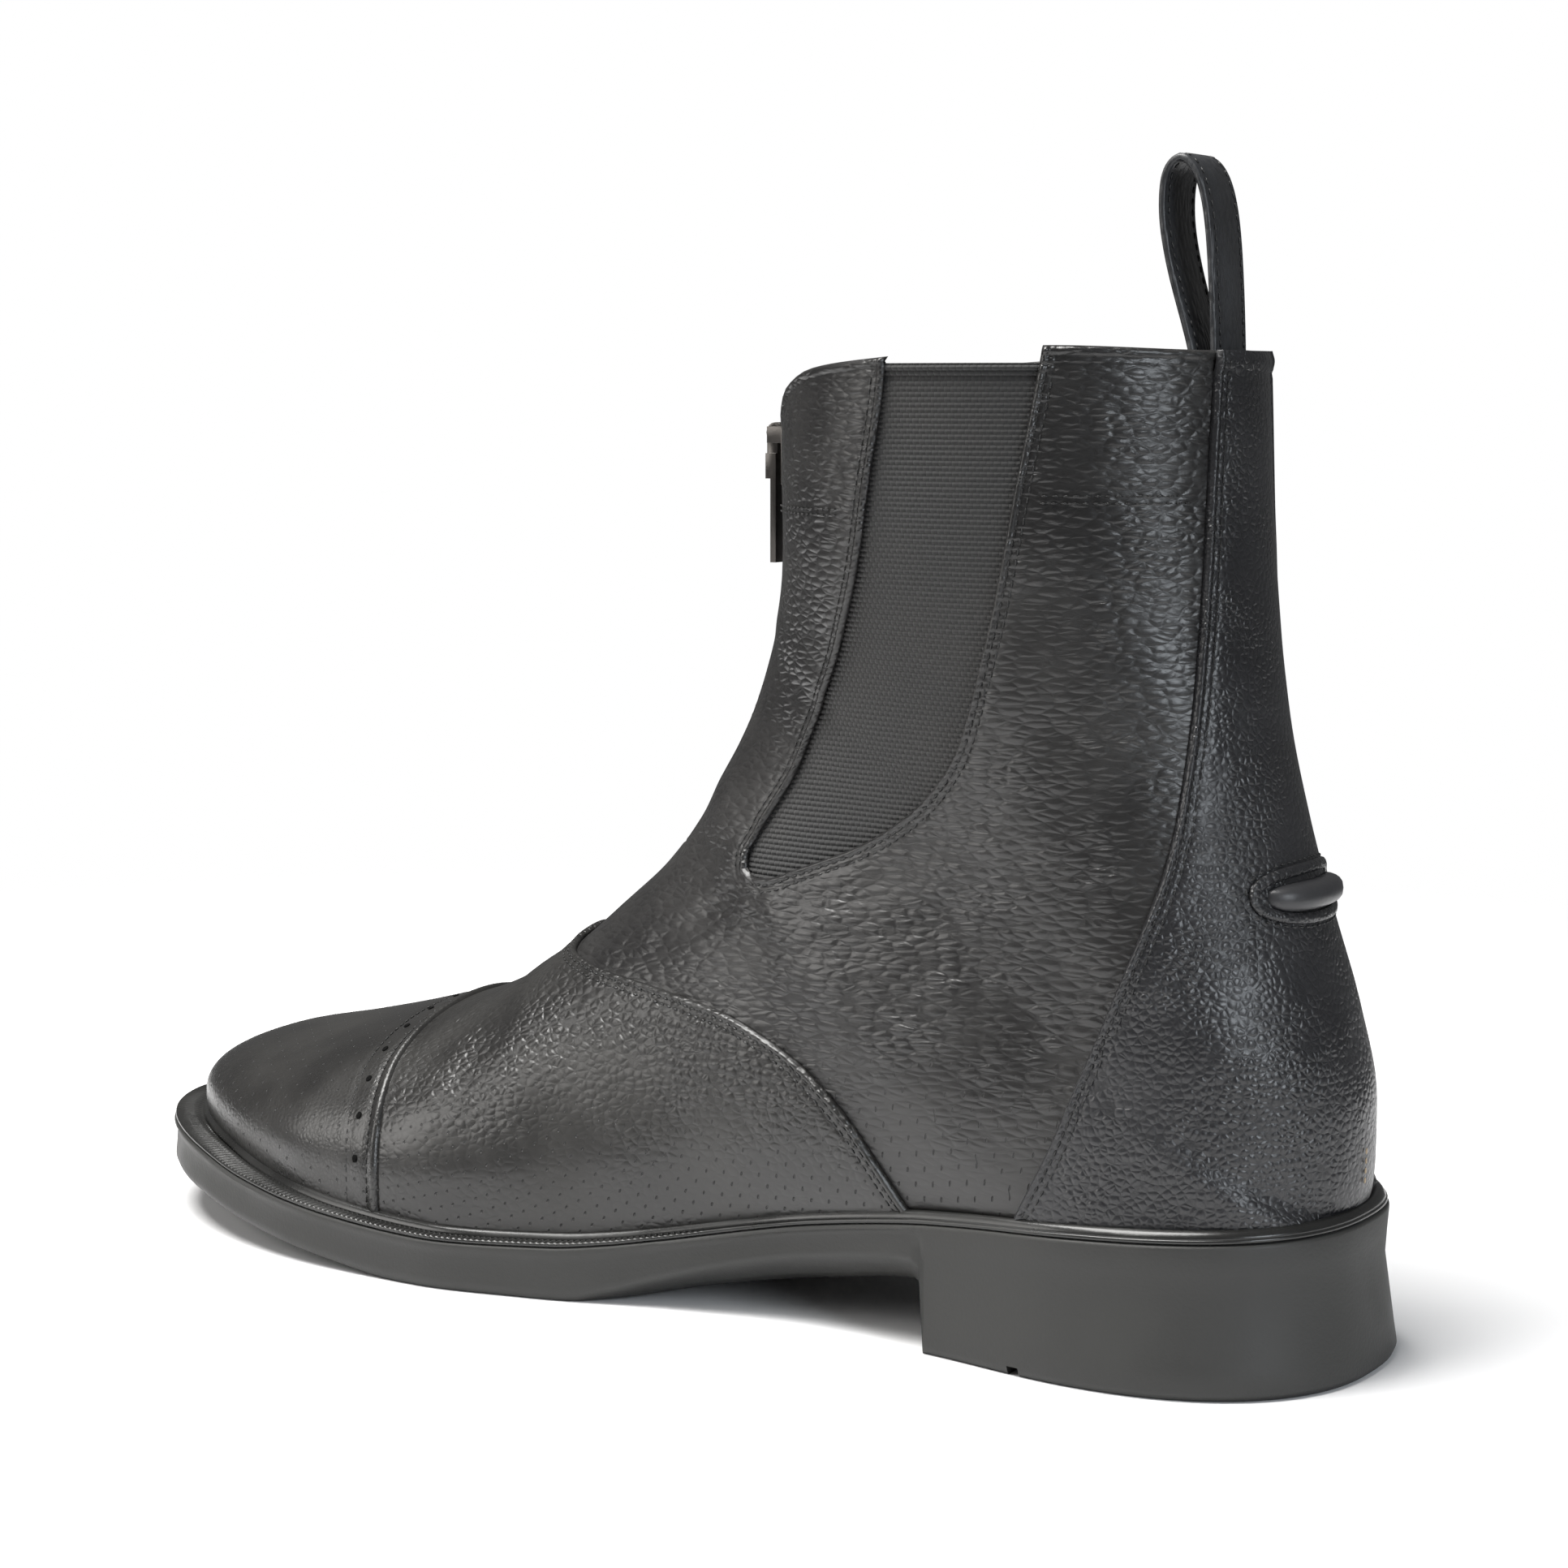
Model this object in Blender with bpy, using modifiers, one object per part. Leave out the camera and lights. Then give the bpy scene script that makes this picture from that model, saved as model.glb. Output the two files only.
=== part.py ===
"""A left paddock boot with a front zip, elastic side gussets, toe cap and pull loop.

Run it with: blender --background --python part.py
The boot stands on its sole. +X is the outer (lateral) side, -Y the toe, +Z up, and the origin is on the
floor under the middle of the heel. Shapes are worked out in millimetres on the last's own axes: s runs
forward from the back of the heel, z runs up, and x runs out from the middle of the heel towards the
outer side. Meshes are made in metres.
"""

import math

import bmesh
import bpy
from mathutils import Matrix, Vector

MM = 0.001
LATERAL, MEDIAL = 1, -1

# Driving sizes, in millimetres.
SOLE_LENGTH = 300.0
HEEL_LENGTH = 79.5
ORIGIN_S = 40.0
WALL = 2.0
GAP = 0.3
OVERLAY = 1.0
CAP_THICKNESS = 1.7
BEAD_HEIGHT = 2.4
INSOLE_MARGIN = 1.8
OVERLAY_LIFT = 0.45
BACK_LIFT = 0.6
LIP = 0.4
COLUMNS = 12

# The sole's plan: rounded heel and toe ends, and half breadths from its curved middle line.
HEEL_END = 45.0
TOE_END = 68.0
TOE_ROUNDNESS = 1.85
HEEL_ROUNDNESS = 2.35
HEEL_MIDDLE_X = 2.0
TOE_MIDDLE_X = -8.0
SWING_FROM, SWING_TO = 100.0, 260.0
MIDDLE_OF_FOOT = (60.0, HEEL_MIDDLE_X, 60.0)
BREADTHS = (
    # s      lateral  medial  welt
    (0.0, 39.0, 38.5, 3.4),
    (45.0, 39.0, 38.5, 3.4),
    (80.0, 34.2, 34.4, 3.6),
    (110.0, 31.8, 31.0, 3.8),
    (140.0, 37.4, 33.0, 4.8),
    (170.0, 47.4, 38.5, 5.8),
    (195.0, 53.6, 43.0, 6.0),
    (220.0, 54.6, 44.6, 6.2),
    (245.0, 52.6, 43.6, 7.2),
    (300.0, 50.0, 42.0, 9.8),
)

# Heights along the sole: its rim, the low edge of its side, and its underside.
SOLE_HEIGHTS = (
    # s     rim   side  underside  flare
    (0.0, 29.5, 1.2, 0.0, 1.7),
    (30.0, 28.6, 1.2, 0.0, 1.6),
    (60.0, 26.9, 1.2, 0.0, 1.2),
    (79.4, 25.1, 1.2, 0.0, 1.0),
    (80.4, 25.0, 18.0, 10.6, 0.0),
    (105.0, 21.3, 15.1, 7.4, 0.0),
    (123.0, 17.8, 11.5, 4.6, 0.0),
    (141.0, 14.2, 6.6, 1.8, 0.0),
    (152.0, 12.3, 3.2, 0.6, 0.0),
    (163.0, 11.1, 1.2, 0.0, 0.0),
    (190.0, 10.2, 1.2, 0.0, 0.0),
    (200.0, 10.4, 1.4, 0.0, 0.0),
    (220.0, 11.7, 3.2, 1.9, 0.0),
    (249.0, 15.1, 6.7, 5.4, 0.0),
    (267.0, 18.2, 9.3, 8.0, 0.0),
    (282.0, 19.8, 10.6, 9.2, 0.0),
    (300.0, 20.8, 12.0, 10.6, 0.0),
)
EDGE_INSET = 1.2
WAIST_INSET = 13.0

# Tread grooves, cut from below. The groove before the heel's breast runs out through both sides.
GROOVE_WIDTH = 2.6
GROOVE_DEPTH = 1.8
GROOVE_MARGIN = 9.0
HEEL_GROOVES = (18.0, 31.0, 44.0)
NOTCH_GROOVE = 57.0
FOREFOOT_GROOVES = (174.0, 190.0, 206.0, 222.0, 238.0, 254.0)

# Ribs of the upper. Each is a flat section from a top point on the front line to an end point. Up to the
# heel the end lies on the sole at station "end" (z None), and then it climbs the back line.
RIBS = (
    # steps, end, z, top_s, top_z, lateral, medial, widest, crest, turn
    (1, 300.0, None, 290.2, 25.5, 0.0, 0.0, 0.30, 2.2, 2.0),
    (2, 297.5, None, 287.9, 29.4, 9.6, 8.0, 0.42, 2.2, 2.0),
    (2, 291.0, None, 282.0, 33.4, 19.6, 16.2, 0.56, 2.2, 2.0),
    (2, 279.0, None, 271.3, 37.6, 30.4, 25.2, 0.66, 2.2, 2.0),
    (2, 258.0, None, 252.3, 41.7, 41.6, 33.8, 0.72, 2.1, 2.0),
    (2, 233.0, None, 229.1, 47.3, 48.0, 38.6, 0.76, 2.0, 2.0),
    (2, 208.0, None, 204.0, 55.0, 49.0, 39.2, 0.79, 1.9, 2.0),
    (2, 181.0, None, 187.0, 65.6, 45.4, 36.6, 0.78, 1.8, 2.0),
    (2, 152.0, None, 172.5, 77.6, 38.4, 34.0, 0.76, 1.8, 2.0),
    (2, 119.0, None, 160.6, 87.8, 34.4, 33.4, 0.74, 1.8, 2.0),
    (2, 84.0, None, 152.0, 98.2, 34.2, 34.0, 0.74, 1.8, 2.0),
    (2, 47.0, None, 146.6, 107.2, 36.2, 35.6, 0.74, 1.9, 2.0),
    (1, 18.0, None, 142.0, 115.0, 35.6, 35.0, 0.74, 1.9, 1.6),
    (1, 4.0, None, 138.8, 121.5, 34.6, 34.2, 0.74, 1.9, 1.2),
    (1, 0.0, None, 136.6, 127.0, 34.0, 33.6, 0.73, 1.9, 1.0),
    (1, 2.2, 38.0, 135.0, 131.5, 33.6, 33.2, 0.71, 1.9, 1.0),
    (1, 1.8, 50.0, 133.4, 136.5, 33.4, 33.0, 0.69, 1.9, 1.0),
    (1, 4.8, 66.0, 131.8, 142.5, 33.4, 33.0, 0.65, 2.0, 1.0),
    (1, 10.2, 84.0, 130.4, 149.0, 33.8, 33.4, 0.61, 2.0, 1.0),
    (1, 15.6, 103.0, 129.4, 155.5, 35.0, 34.6, 0.57, 2.0, 1.0),
    (2, 20.4, 126.0, 128.6, 162.0, 36.6, 36.2, 0.54, 2.0, 1.0),
    (2, 23.4, 158.0, 128.0, 171.0, 38.6, 38.2, 0.51, 2.0, 1.0),
    (0, 24.6, 196.5, 127.6, 179.5, 39.8, 39.4, 0.50, 2.0, 1.0),
)
COLLAR_RISE = (
    # share of the way back, extra height
    (0.0, 0.0),
    (0.02, 1.5),
    (0.06, 5.0),
    (0.10, 8.3),
    (0.20, 10.3),
    (0.40, 9.0),
    (0.70, 6.0),
    (1.0, 0.0),
)

# Seams in side view, as (s, z) from the sole upwards.
CAP_SEAM = (
    (207.6, 12.0),
    (207.6, 20.0),
    (208.6, 28.5),
    (210.8, 36.5),
    (213.0, 43.0),
    (214.0, 50.0),
    (213.0, 62.0),
)
VAMP_SEAM = (
    (79.0, 19.0),
    (84.5, 28.0),
    (89.9, 36.4),
    (95.0, 43.2),
    (102.8, 50.3),
    (109.0, 54.4),
    (117.6, 58.2),
    (127.0, 61.2),
    (138.0, 63.0),
    (150.0, 64.3),
    (161.0, 65.2),
    (171.0, 66.3),
    (178.0, 67.2),
    (181.0, 69.4),
    (178.5, 74.0),
    (170.0, 84.0),
)
BACK_SEAM = (
    (64.0, 20.0),
    (57.5, 31.0),
    (53.6, 38.0),
    (49.5, 46.2),
    (45.0, 57.3),
    (40.2, 68.5),
    (36.4, 78.0),
    (33.0, 88.0),
    (30.4, 98.0),
    (28.9, 110.0),
    (28.0, 134.0),
    (27.6, 165.0),
    (26.8, 205.0),
)
GUSSET = (
    # z     front  rear
    (206.0, 85.0, 51.0),
    (194.0, 85.5, 53.0),
    (170.0, 90.4, 57.8),
    (154.0, 94.8, 61.0),
    (137.0, 103.0, 65.4),
    (119.0, 113.5, 72.2),
    (110.0, 118.0, 79.2),
    (102.0, 123.0, 89.8),
    (97.0, 126.0, 99.2),
    (93.0, 127.6, 109.4),
    (90.4, 127.2, 116.4),
)
GUSSET_MARGIN = 5.0
GUSSET_TOP = 194.2
ELASTIC = 1.3

# Side-view cutters reach this far to each side, and the lowest seam heights that clear the welt's bead.
WIDE = 90.0
CAP_SEAM_FOOT, VAMP_SEAM_FOOT, BACK_SEAM_FOOT = 14.5, 28.5, 31.0
NEAR_FRONT = 0.3
FRONT_HALF = 2.8
BACK_HALF = 1.2

# The welt, with its raised bead against the upper.
WELT_PROFILE = (
    # share of the welt's width, more inset, height above the rim
    (0.0, 0.5, GAP),
    (0.0, 0.5, 1.0),
    (1.0, -3.4, 1.1),
    (1.0, -2.9, 2.1),
    (1.0, -2.1, BEAD_HEIGHT),
    (1.0, -1.2, 1.8),
    (1.0, -0.5, GAP),
)
INSOLE_TOP = 2.4

# The pull loop's strap.
LOOP_WIDTH = 15.0
LOOP_THICKNESS = 2.0
LOOP_PATH = (
    # s     z      up the rear strand, over the top and down the front strand
    (29.2, 176.0),
    (29.4, 197.0),
    (29.8, 210.0),
    (30.6, 222.0),
    (32.6, 231.0),
    (36.4, 235.2),
    (40.0, 231.6),
    (40.6, 224.0),
    (38.8, 213.0),
    (35.6, 202.0),
    (33.2, 192.0),
    (32.4, 182.0),
)

# The spur rest, a bar across the back of the heel.
SPUR_REST_Z = 91.3
SPUR_REST_RIBS = (14, 22)
SPUR_REST_HALF = 14.0
SPUR_REST_HEIGHT = 4.4
SPUR_REST_REACH = 2.4
SPUR_REST_LEAN = 0.3
SPUR_REST_PROFILE = (
    # share of the reach, share of half the height
    (0.0, 1.0),
    (0.55, 1.0),
    (1.0, 0.4),
    (1.0, -0.4),
    (0.55, -1.0),
    (0.0, -1.0),
)

# The zip: its slot in the leather, tape, teeth, slider and swinging pull tab.
ZIP_FOOT_Z = 90.0
ZIP_REACH = 8.0
ZIP_HALF_SLOT = 3.6
TAPE_HALF_WIDTH = 8.0
TAPE = 0.8
TEETH = 1.5
TEETH_HALF = 2.4
ZIP_AXIS = (133.2, 179.8)
SLIDER_FACE = 128.1
SLIDER_THICKNESS = 2.2
SLIDER_HALF = 4.2
SLIDER_FOOT, SLIDER_TOP = -11.0, 1.0
PULL_LENGTH = 27.6
PULL_WIDTH = 5.0
PULL_BACK, PULL_FRONT, HEAD_FRONT = -0.6, 0.8, 2.0
HEAD_TOP, HEAD_FOOT = -4.4, -9.8
EYE_RADIUS, PIN_RADIUS, PIN_GAP = 2.2, 0.9, 0.3
EAR_INSIDE, EAR_OUTSIDE = 2.1, 3.2
EAR_FRONT, EAR_FOOT, EAR_TOP = 1.2, -2.2, 1.3


def glide(rows, at, column):
    """A column of a table, read at any place by a smooth curve that doesn't overshoot its rows."""
    if at <= rows[0][0]:
        return rows[0][column]
    if at >= rows[-1][0]:
        return rows[-1][column]
    i = max(k for k in range(len(rows) - 1) if rows[k][0] <= at)

    def slope(k):
        if k <= 0 or k >= len(rows) - 1:
            return 0.0 if 0 < k < len(rows) - 1 else rise(min(max(k, 0), len(rows) - 2))
        before, after = rise(k - 1), rise(k)
        return 0.0 if before * after <= 0 else 2 * before * after / (before + after)

    def rise(k):
        return (rows[k + 1][column] - rows[k][column]) / (rows[k + 1][0] - rows[k][0])

    run = rows[i + 1][0] - rows[i][0]
    t = (at - rows[i][0]) / run
    return (
        (1 + 2 * t) * (1 - t) ** 2 * rows[i][column]
        + t * (1 - t) ** 2 * run * slope(i)
        + t * t * (3 - 2 * t) * rows[i + 1][column]
        + t * t * (t - 1) * run * slope(i + 1)
    )


def middle_x(s):
    """The curved middle line, which swings towards the big toe."""
    t = min(max((s - SWING_FROM) / (SWING_TO - SWING_FROM), 0.0), 1.0)
    return HEEL_MIDDLE_X + (TOE_MIDDLE_X - HEEL_MIDDLE_X) * t * t * (3 - 2 * t)


def end_factor(s):
    """1 along the sole, closing to 0 round the heel and round the toe."""
    if s < HEEL_END:
        return max(1 - (1 - s / HEEL_END) ** HEEL_ROUNDNESS, 0.0) ** (1 / HEEL_ROUNDNESS)
    into_toe = (s - (SOLE_LENGTH - TOE_END)) / TOE_END
    if into_toe <= 0:
        return 1.0
    return max(1 - into_toe**TOE_ROUNDNESS, 0.0) ** (1 / TOE_ROUNDNESS)


def plan(s, side, inset):
    """(s, half breadth) of a line that lies inset from the sole's edge, at the station s of that edge."""
    breadth = glide(BREADTHS, s, 1 if side == LATERAL else 2)
    return s + inset * (1 - 2 * s / SOLE_LENGTH), (breadth - inset) * end_factor(s)


def welt(s):
    return glide(BREADTHS, s, 3)


def rim(s):
    return glide(SOLE_HEIGHTS, s, 1)


def rib(u):
    """The columns of RIBS at u, a rib's number with its fraction."""
    rows = [(k, *row) for k, row in enumerate(RIBS)]
    climbing = next(k for k, row in enumerate(RIBS) if row[2] is not None)
    if u <= climbing - 1:
        station = glide(rows, u, 2)
        end_s = plan(station, LATERAL, welt(station))[0]
        end_z = rim(station) + GAP
        feet = {side: plan(station, side, welt(station))[1] for side in (LATERAL, MEDIAL)}
    else:
        heel = (climbing - 1, welt(0.0), rim(0.0) + GAP)
        back = [heel] + [(k, row[1], row[2]) for k, row in enumerate(RIBS) if k >= climbing]
        end_s, end_z = glide(back, u, 1), glide(back, u, 2)
        feet = {LATERAL: 0.0, MEDIAL: 0.0}
    top_s, top_z, lateral, medial, widest, crest, turn = (glide(rows, u, k) for k in range(4, 11))
    return (top_s, top_z), (end_s, end_z), {LATERAL: lateral, MEDIAL: medial}, feet, widest, crest, turn


def last_point(u, angle):
    """(s, x, z) outside the upper. The angle runs from 0 on the front line to pi at the rib's end."""
    side = LATERAL if angle >= 0 else MEDIAL
    turned = abs(angle)
    top, end, widths, feet, widest, crest, turn = rib(u)
    sine, cosine = math.sin(turned), math.cos(turned)
    if turned <= math.pi / 2:
        share = widest * (1 - max(cosine, 0.0) ** (2 / crest))
        half = widths[side] * sine ** (2 / crest)
    else:
        share = widest + (1 - widest) * -cosine
        half = feet[side] + (widths[side] - feet[side]) * max(sine, 0.0) ** turn
    s = top[0] + share * (end[0] - top[0])
    z = top[1] + share * (end[1] - top[1])
    collar_part = min(max(u - (len(RIBS) - 3), 0.0) / 2, 1.0)
    z += collar_part**2 * glide(COLLAR_RISE, share, 1)
    return s, middle_x(s) + side * half, z


def place(s, x, z):
    return Vector((x * MM, (ORIGIN_S - s) * MM, z * MM))


def rib_stations():
    stations = []
    for k, row in enumerate(RIBS):
        stations += [k + step / row[0] for step in range(row[0])] or [float(k)]
    return stations


STATIONS = rib_stations()


def material(name, colour, roughness, metallic=0.0):
    made = bpy.data.materials.new(name)
    made.use_nodes = True
    shader = made.node_tree.nodes["Principled BSDF"]
    shader.inputs["Base Color"].default_value = (*colour, 1.0)
    shader.inputs["Roughness"].default_value = roughness
    shader.inputs["Metallic"].default_value = metallic
    return made


def collection(name, seen=True):
    made = bpy.data.collections.new(name)
    made.hide_render = not seen
    bpy.context.scene.collection.children.link(made)
    return made


def add(name, mesh, finish, smooth=True):
    mesh.validate()
    made = bpy.data.objects.new(name, mesh)
    BOOT.objects.link(made)
    mesh.materials.append(finish)
    if smooth:
        mesh.shade_smooth()
        mesh.set_sharp_from_angle(angle=math.radians(40))
    return made


def add_cutter(name, mesh):
    made = bpy.data.objects.new(name, mesh)
    CUTTERS.objects.link(made)
    made.hide_render = True
    made.display_type = "WIRE"
    return made


def mesh_from(bm, name, merge=1e-6):
    bmesh.ops.remove_doubles(bm, verts=bm.verts, dist=merge)
    bmesh.ops.recalc_face_normals(bm, faces=bm.faces)
    mesh = bpy.data.meshes.new(name)
    bm.to_mesh(mesh)
    bm.free()
    return mesh


def grid_faces(bm, rows, closed=False):
    """Quads between rows of points, which all hold the same number of points."""
    made = [[bm.verts.new(point) for point in row] for row in rows]
    for row, following in zip(made, made[1:]):
        turns = len(row) if closed else len(row) - 1
        for k in range(turns):
            after = (k + 1) % len(row)
            bm.faces.new((row[k], row[after], following[after], following[k]))
    return made


def loft(name, rings):
    """A closed body through rings of points whose first and last rings are flat, or folded to a line."""
    bm = bmesh.new()
    made = grid_faces(bm, rings, closed=True)
    for ring in (made[0], made[-1]):
        if len({tuple(round(c, 7) for c in vert.co) for vert in ring}) == len(ring):
            bm.faces.new(ring)
    return mesh_from(bm, name)


def prism(name, outline, x_from, x_to):
    """A cutter with a side-view outline of (s, z) points, between two values of x."""
    bm = bmesh.new()
    face = bm.faces.new([bm.verts.new(place(s, x_from, z)) for s, z in outline])
    pushed = bmesh.ops.extrude_face_region(bm, geom=[face])["geom"]
    moved = [item for item in pushed if isinstance(item, bmesh.types.BMVert)]
    bmesh.ops.translate(bm, verts=moved, vec=((x_to - x_from) * MM, 0, 0))
    return add_cutter(name, mesh_from(bm, name))


def curve_through(points, steps=3):
    """A rounder run of points through the given (s, z) points."""
    rows = [(k, *point) for k, point in enumerate(points)]
    count = (len(points) - 1) * steps
    return [(glide(rows, k / steps, 1), glide(rows, k / steps, 2)) for k in range(count + 1)]


def skin(name, lift, thickness, rows, columns, finish):
    """A layer of the upper: its surface moved out by lift, then thickened, inwards if negative."""
    bm = bmesh.new()
    angles = [math.pi * k / COLUMNS for k in range(-COLUMNS, COLUMNS + 1)]
    angles = [angle for angle in angles if columns(abs(angle))]
    stations = [u for u in STATIONS if rows[0] <= u <= rows[1]]
    for side_angles in runs(angles):
        grid_faces(bm, [[place(*last_point(u, angle)) for angle in side_angles] for u in stations])
    bmesh.ops.remove_doubles(bm, verts=bm.verts, dist=1e-6)
    bmesh.ops.recalc_face_normals(bm, faces=bm.faces)
    centre = place(*MIDDLE_OF_FOOT)
    arms = [(face, face.calc_center_median() - centre) for face in bm.faces]
    if sum(face.normal.dot(arm) * face.calc_area() for face, arm in arms) < 0:
        bmesh.ops.reverse_faces(bm, faces=bm.faces)
    bm.normal_update()
    moves = {vert: vert.normal * vert.calc_shell_factor() * lift * MM for vert in bm.verts}
    for vert, move in moves.items():
        vert.co += move
    mesh = bpy.data.meshes.new(name)
    bm.to_mesh(mesh)
    bm.free()
    made = add(name, mesh, finish)
    wall = made.modifiers.new("Wall", "SOLIDIFY")
    wall.thickness = abs(thickness) * MM
    wall.offset = 1.0 if thickness > 0 else -1.0
    wall.use_even_offset = True
    return made


def runs(angles):
    """The angles split where columns are left out, or kept as one run."""
    step = math.pi / COLUMNS
    split = [[angles[0]]]
    for before, after in zip(angles, angles[1:]):
        if after - before > 1.5 * step:
            split.append([])
        split[-1].append(after)
    return split


def boolean(made, cutter, operation):
    cut = made.modifiers.new(cutter.name, "BOOLEAN")
    cut.operation = operation
    cut.object = cutter
    return made


def everywhere(angle):
    return True


def near_front(angle):
    return angle < NEAR_FRONT


def beside(angle):
    return NEAR_FRONT < angle < FRONT_HALF


def at_the_back(angle):
    return angle > BACK_HALF


def gusset_outline(margin, top):
    rows = [row for row in GUSSET if row[0] <= top] + [(top, *interpolated(top))]
    rows.sort()
    front = [(s + margin, z) for z, s, _ in rows]
    rear = [(s - margin, z) for z, _, s in reversed(rows)]
    tip_z, tip_front, tip_rear = rows[0]
    return [((tip_front + tip_rear) / 2, tip_z - margin)] + front + rear


def interpolated(z):
    rows = sorted(GUSSET)
    return glide(rows, z, 1), glide(rows, z, 2)


def make_upper(leather):
    upper = skin("upper", 0.0, -WALL, (0, len(RIBS)), everywhere, leather)
    outline = gusset_outline(0.0, GUSSET[0][0])
    for side, name in ((LATERAL, "outer"), (MEDIAL, "inner")):
        cutter = prism("cut_gusset_" + name, outline, side * 12.0, side * WIDE)
        boolean(upper, cutter, "DIFFERENCE")
    boolean(upper, zip_prism("cut_zip", ZIP_HALF_SLOT), "DIFFERENCE")


def front_line(first, last, count):
    """(s, z) points up the front line, between two ribs."""
    points = []
    for k in range(count + 1):
        s, _, z = last_point(first + (last - first) * k / count, 0.0)
        points.append((s, z))
    return points


def zip_ribs():
    """The ribs at the zip's foot and at the collar."""
    foot = next(u / 10 for u in range(10 * len(RIBS)) if rib(u / 10)[0][1] >= ZIP_FOOT_Z)
    return foot, len(RIBS) - 1.0


def zip_prism(name, half_width):
    """A cutter that holds the front wall beside the zip, from the zip's foot to above the collar."""
    line = front_line(*zip_ribs(), 8)
    line.append((line[-1][0], line[-1][1] + 10.0))
    inner = [(s - ZIP_REACH, z - ZIP_REACH / 2) for s, z in line]
    outer = [(s + ZIP_REACH, z + ZIP_REACH / 2) for s, z in reversed(line)]
    return prism(name, inner + outer, HEEL_MIDDLE_X - half_width, HEEL_MIDDLE_X + half_width)


def above_welt(s_from, s_to):
    """Side-view points just above the welt's bead, from one station of the sole to another."""
    points = []
    for k in range(13):
        s = s_from + (s_to - s_from) * k / 12
        points.append((plan(s, LATERAL, welt(s))[0], rim(s) + BEAD_HEIGHT + GAP))
    return points


def from_welt(seam, height):
    """The part of a seam that lies above a height."""
    return [(s, z) for s, z in curve_through(seam) if z > height]


def make_overlays(leather):
    cap_line = from_welt(CAP_SEAM, CAP_SEAM_FOOT)
    vamp_line = from_welt(VAMP_SEAM, VAMP_SEAM_FOOT)
    back_line = from_welt(BACK_SEAM, BACK_SEAM_FOOT)
    cap = skin("toe_cap", OVERLAY_LIFT, CAP_THICKNESS, (0, 9), everywhere, leather)
    front = cap_line + [(330.0, 90.0), (330.0, rim(SOLE_LENGTH) + BEAD_HEIGHT + GAP)]
    boolean(cap, prism("keep_toe_cap", front + above_welt(SOLE_LENGTH, 206.0), -WIDE, WIDE), "INTERSECT")
    vamp = skin("vamp", OVERLAY_LIFT, OVERLAY, (5, 14), everywhere, leather)
    behind_cap = [(s - GAP, z) for s, z in cap_line]
    between = vamp_line + list(reversed(behind_cap)) + above_welt(205.0, 80.0)
    boolean(vamp, prism("keep_vamp", between, -WIDE, WIDE), "INTERSECT")
    panel = skin("back_panel", BACK_LIFT, OVERLAY, (11, len(RIBS)), at_the_back, leather)
    far_behind = [(-30.0, BACK_SEAM[-1][1]), (-30.0, rim(0.0) + BEAD_HEIGHT + GAP)]
    behind = back_line + far_behind + above_welt(0.0, 55.0)
    boolean(panel, prism("keep_back_panel", behind, -WIDE, WIDE), "INTERSECT")


def make_gussets(elastic):
    outline = gusset_outline(GUSSET_MARGIN, GUSSET_TOP)
    for side, name in ((LATERAL, "gusset_outer"), (MEDIAL, "gusset_inner")):
        panel = skin(name, -WALL - GAP, -ELASTIC, (9, len(RIBS)), beside, elastic)
        boolean(panel, prism("keep_" + name, outline, side * 4.0, side * WIDE), "INTERSECT")


def sole_stations():
    """Stations along the sole, closer together round the heel and the toe."""
    heel = [HEEL_END * (1 - math.cos(math.pi / 2 * k / 6)) for k in range(6)]
    waist = [HEEL_END, 62.0, HEEL_LENGTH - 0.1, HEEL_LENGTH + 0.9, 92.0, 105.0, 123.0, 141.0, 152.0, 163.0]
    tread = [176.0, 190.0, 200.0, 210.0, 220.0]
    toe_from = SOLE_LENGTH - TOE_END
    toe = [toe_from + TOE_END * math.sin(math.pi / 2 * k / 9) for k in range(10)]
    return heel + waist + tread + toe


def make_sole(rubber):
    rings = []
    for s in sole_stations():
        high, side_low, under, flare = (glide(SOLE_HEIGHTS, s, k) for k in (1, 2, 3, 4))
        waist = min(max((side_low - under - 1.5) / 4.0, 0.0), 1.0)
        bevel = EDGE_INSET + (WAIST_INSET - EDGE_INSET) * waist
        ring = []
        for side in (LATERAL, MEDIAL):
            half = [
                (*plan(s, side, -LIP), high),
                (*plan(s, side, 0.4), high + (side_low - high) * 0.35),
                (*plan(s, side, -flare), side_low),
                (*plan(s, side, bevel - flare), under),
            ]
            half = [place(at, middle_x(at) + side * x, z) for at, x, z in half]
            ring += half if side == LATERAL else half[::-1]
        rings.append(ring)
    sole = add("outsole", loft("outsole", rings), rubber)
    return boolean(sole, tread_cutter(), "DIFFERENCE")


def tread_cutter():
    bm = bmesh.new()
    grooves = [(s, True) for s in HEEL_GROOVES + FOREFOOT_GROOVES] + [(NOTCH_GROOVE, False)]
    for s, inside in grooves:
        ends = {}
        for side in (LATERAL, MEDIAL):
            half = plan(s, side, GROOVE_MARGIN if inside else -GROOVE_MARGIN)[1]
            ends[side] = middle_x(s) + side * half
        under = glide(SOLE_HEIGHTS, s, 3)
        low = place(s - GROOVE_WIDTH / 2, ends[MEDIAL], -5.0)
        high = place(s + GROOVE_WIDTH / 2, ends[LATERAL], under + GROOVE_DEPTH)
        add_box(bm, low, high)
    return add_cutter("cut_tread", mesh_from(bm, "cut_tread"))


def add_box(bm, low, high):
    """An upright box between two opposite corners."""
    made = bmesh.ops.create_cube(bm, size=1.0)["verts"]
    size = Vector([abs(b - a) for a, b in zip(low, high)])
    bmesh.ops.scale(bm, verts=made, vec=size)
    bmesh.ops.translate(bm, verts=made, vec=(low + high) / 2)


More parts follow.
